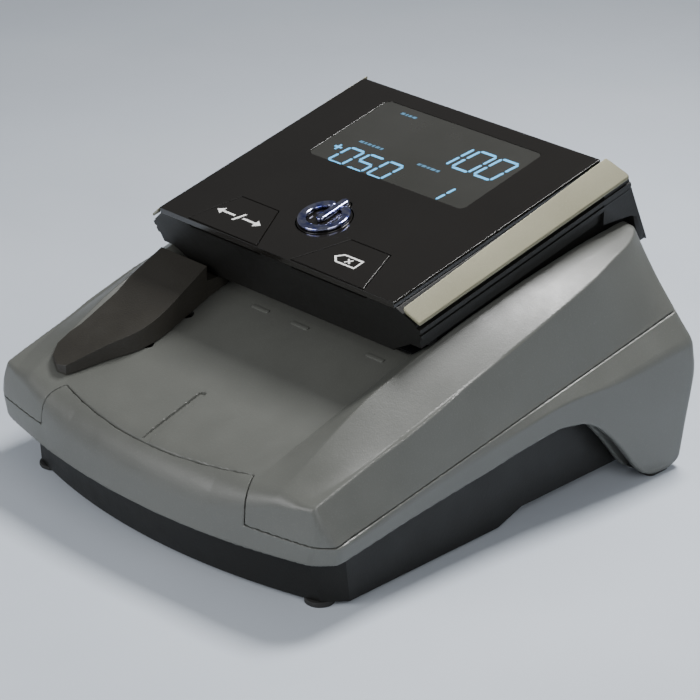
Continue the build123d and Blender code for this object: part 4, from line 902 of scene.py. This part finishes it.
def make_power_ring():
    """The chrome ring, open towards the back, and its upright bar."""
    def build(work):
        gap = math.radians(25)
        radius, steps = 6.6, 60
        arc = []
        for step in range(steps + 1):
            angle = math.pi / 2 + gap + (2 * math.pi - 2 * gap) * step / steps
            arc.append(Vector((radius * math.cos(angle), POWER_V + radius * math.sin(angle))))
        sweep(work, arc, 1.4, 0.12, 1.6)
        bar = [Vector((0, 20.3 + 9.8 * step / 8)) for step in range(9)]
        sweep(work, bar, 1.4, 0.12, 1.75)

    piece = solid_piece("power_ring", build)
    piece.data.polygons.foreach_set("use_smooth", [True] * len(piece.data.polygons))
    dress(piece, "chrome_ring", "power_key")
    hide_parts("power_symbol")


def make_trims():
    """The bevelled side trims, set back from the glass by a wedge that widens to the front."""
    def bevel_w(x):
        inner_x, inner_w, fall = 49.15, -0.15, 0.817
        return inner_w - (x - inner_x) * fall

    for side, node in ((-1, "left_trim"), (1, "right_trim")):
        outline = rounded_outline([(51.0, 0.9), (55.9, 1.9), (55.9, 92.5), (49.3, 90.1)], 0.8)
        if side < 0:
            outline = outline[::-1]

        def place(x, v, w):
            return panel_point(side * x, v, bevel_w(x) + w)

        def build(work):
            prism(work, outline, -1.0, 0.0, place)

        piece = solid_piece(node + "_strip", build)
        soften(piece.data, 0.28, 3, 30)
        applied(piece, ("WEIGHTED_NORMAL", {"keep_sharp": True}))
        dress(piece, "champagne_trim", "head")
        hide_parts(node)


def make_tray_ribs():
    """Three low ribs that lift a bill's edge into the slot."""
    foot, half_length, half_width = -14.5, 3.5, 0.7

    def place(x, v, w):
        y = foot + v * math.cos(TRAY_TILT) - w * math.sin(TRAY_TILT)
        z = tray_z(foot) + v * math.sin(TRAY_TILT) + w * math.cos(TRAY_TILT)
        return Vector((x, y, z)) * MM

    def build(work):
        for x in (-14.3, 2.5, 33.4):
            left, right = x - half_length, x + half_length
            corners = [(left, -half_width), (right, -half_width),
                       (right, half_width), (left, half_width)]
            prism(work, rounded_outline(corners, 0.6), -0.4, 0.35, place)

    piece = solid_piece("tray_ribs", build)
    soften(piece.data, 0.2, 2, 40)
    dress(piece, "grey_plastic", "base")


def make_tail_cheeks():
    """The head's cheeks around the hinge line, which close the gap behind each shoulder."""
    outline = [(71.5, 76.5), (73.5, 69.6), (73.9, 68.1), (75.0, 67.3), (76.6, 67.5), (78.0, 67.9),
               (76.2, 72.0), (74.0, 77.0)]

    def place(y, z, x):
        return Vector((x, y, z)) * MM

    def build(work):
        for side in (-1, 1):
            prism(work, outline, side * 50.9, side * 55.36, place)

    piece = solid_piece("tail_cheeks", build)
    soften(piece.data, 0.15, 2, 40)
    dress(piece, "black_plastic", "head")


def make_rounded_parts():
    """CAD nodes whose edges show, each with its edge radius in millimetres."""
    for node, radius in (("glass_panel", 0.22), ("reverse_button", 0.22), ("clear_button", 0.22),
                         ("power_button", 0.2), ("bill_guide", 0.9), ("base_casing", 0.7),
                         ("head_housing", 0.35), ("front_feet", 0.3), ("rear_feet", 0.3),
                         ("rear_panel", 0.25)):
        rounded_copy(node, radius)


MATERIALS = make_materials()
dress_cad_nodes()
make_camera()
make_studio()
make_floor()
make_casings()
make_tray_ribs()
make_rounded_parts()
make_tail_cheeks()
make_trims()
make_display()
make_key_marks()
make_power_ring()
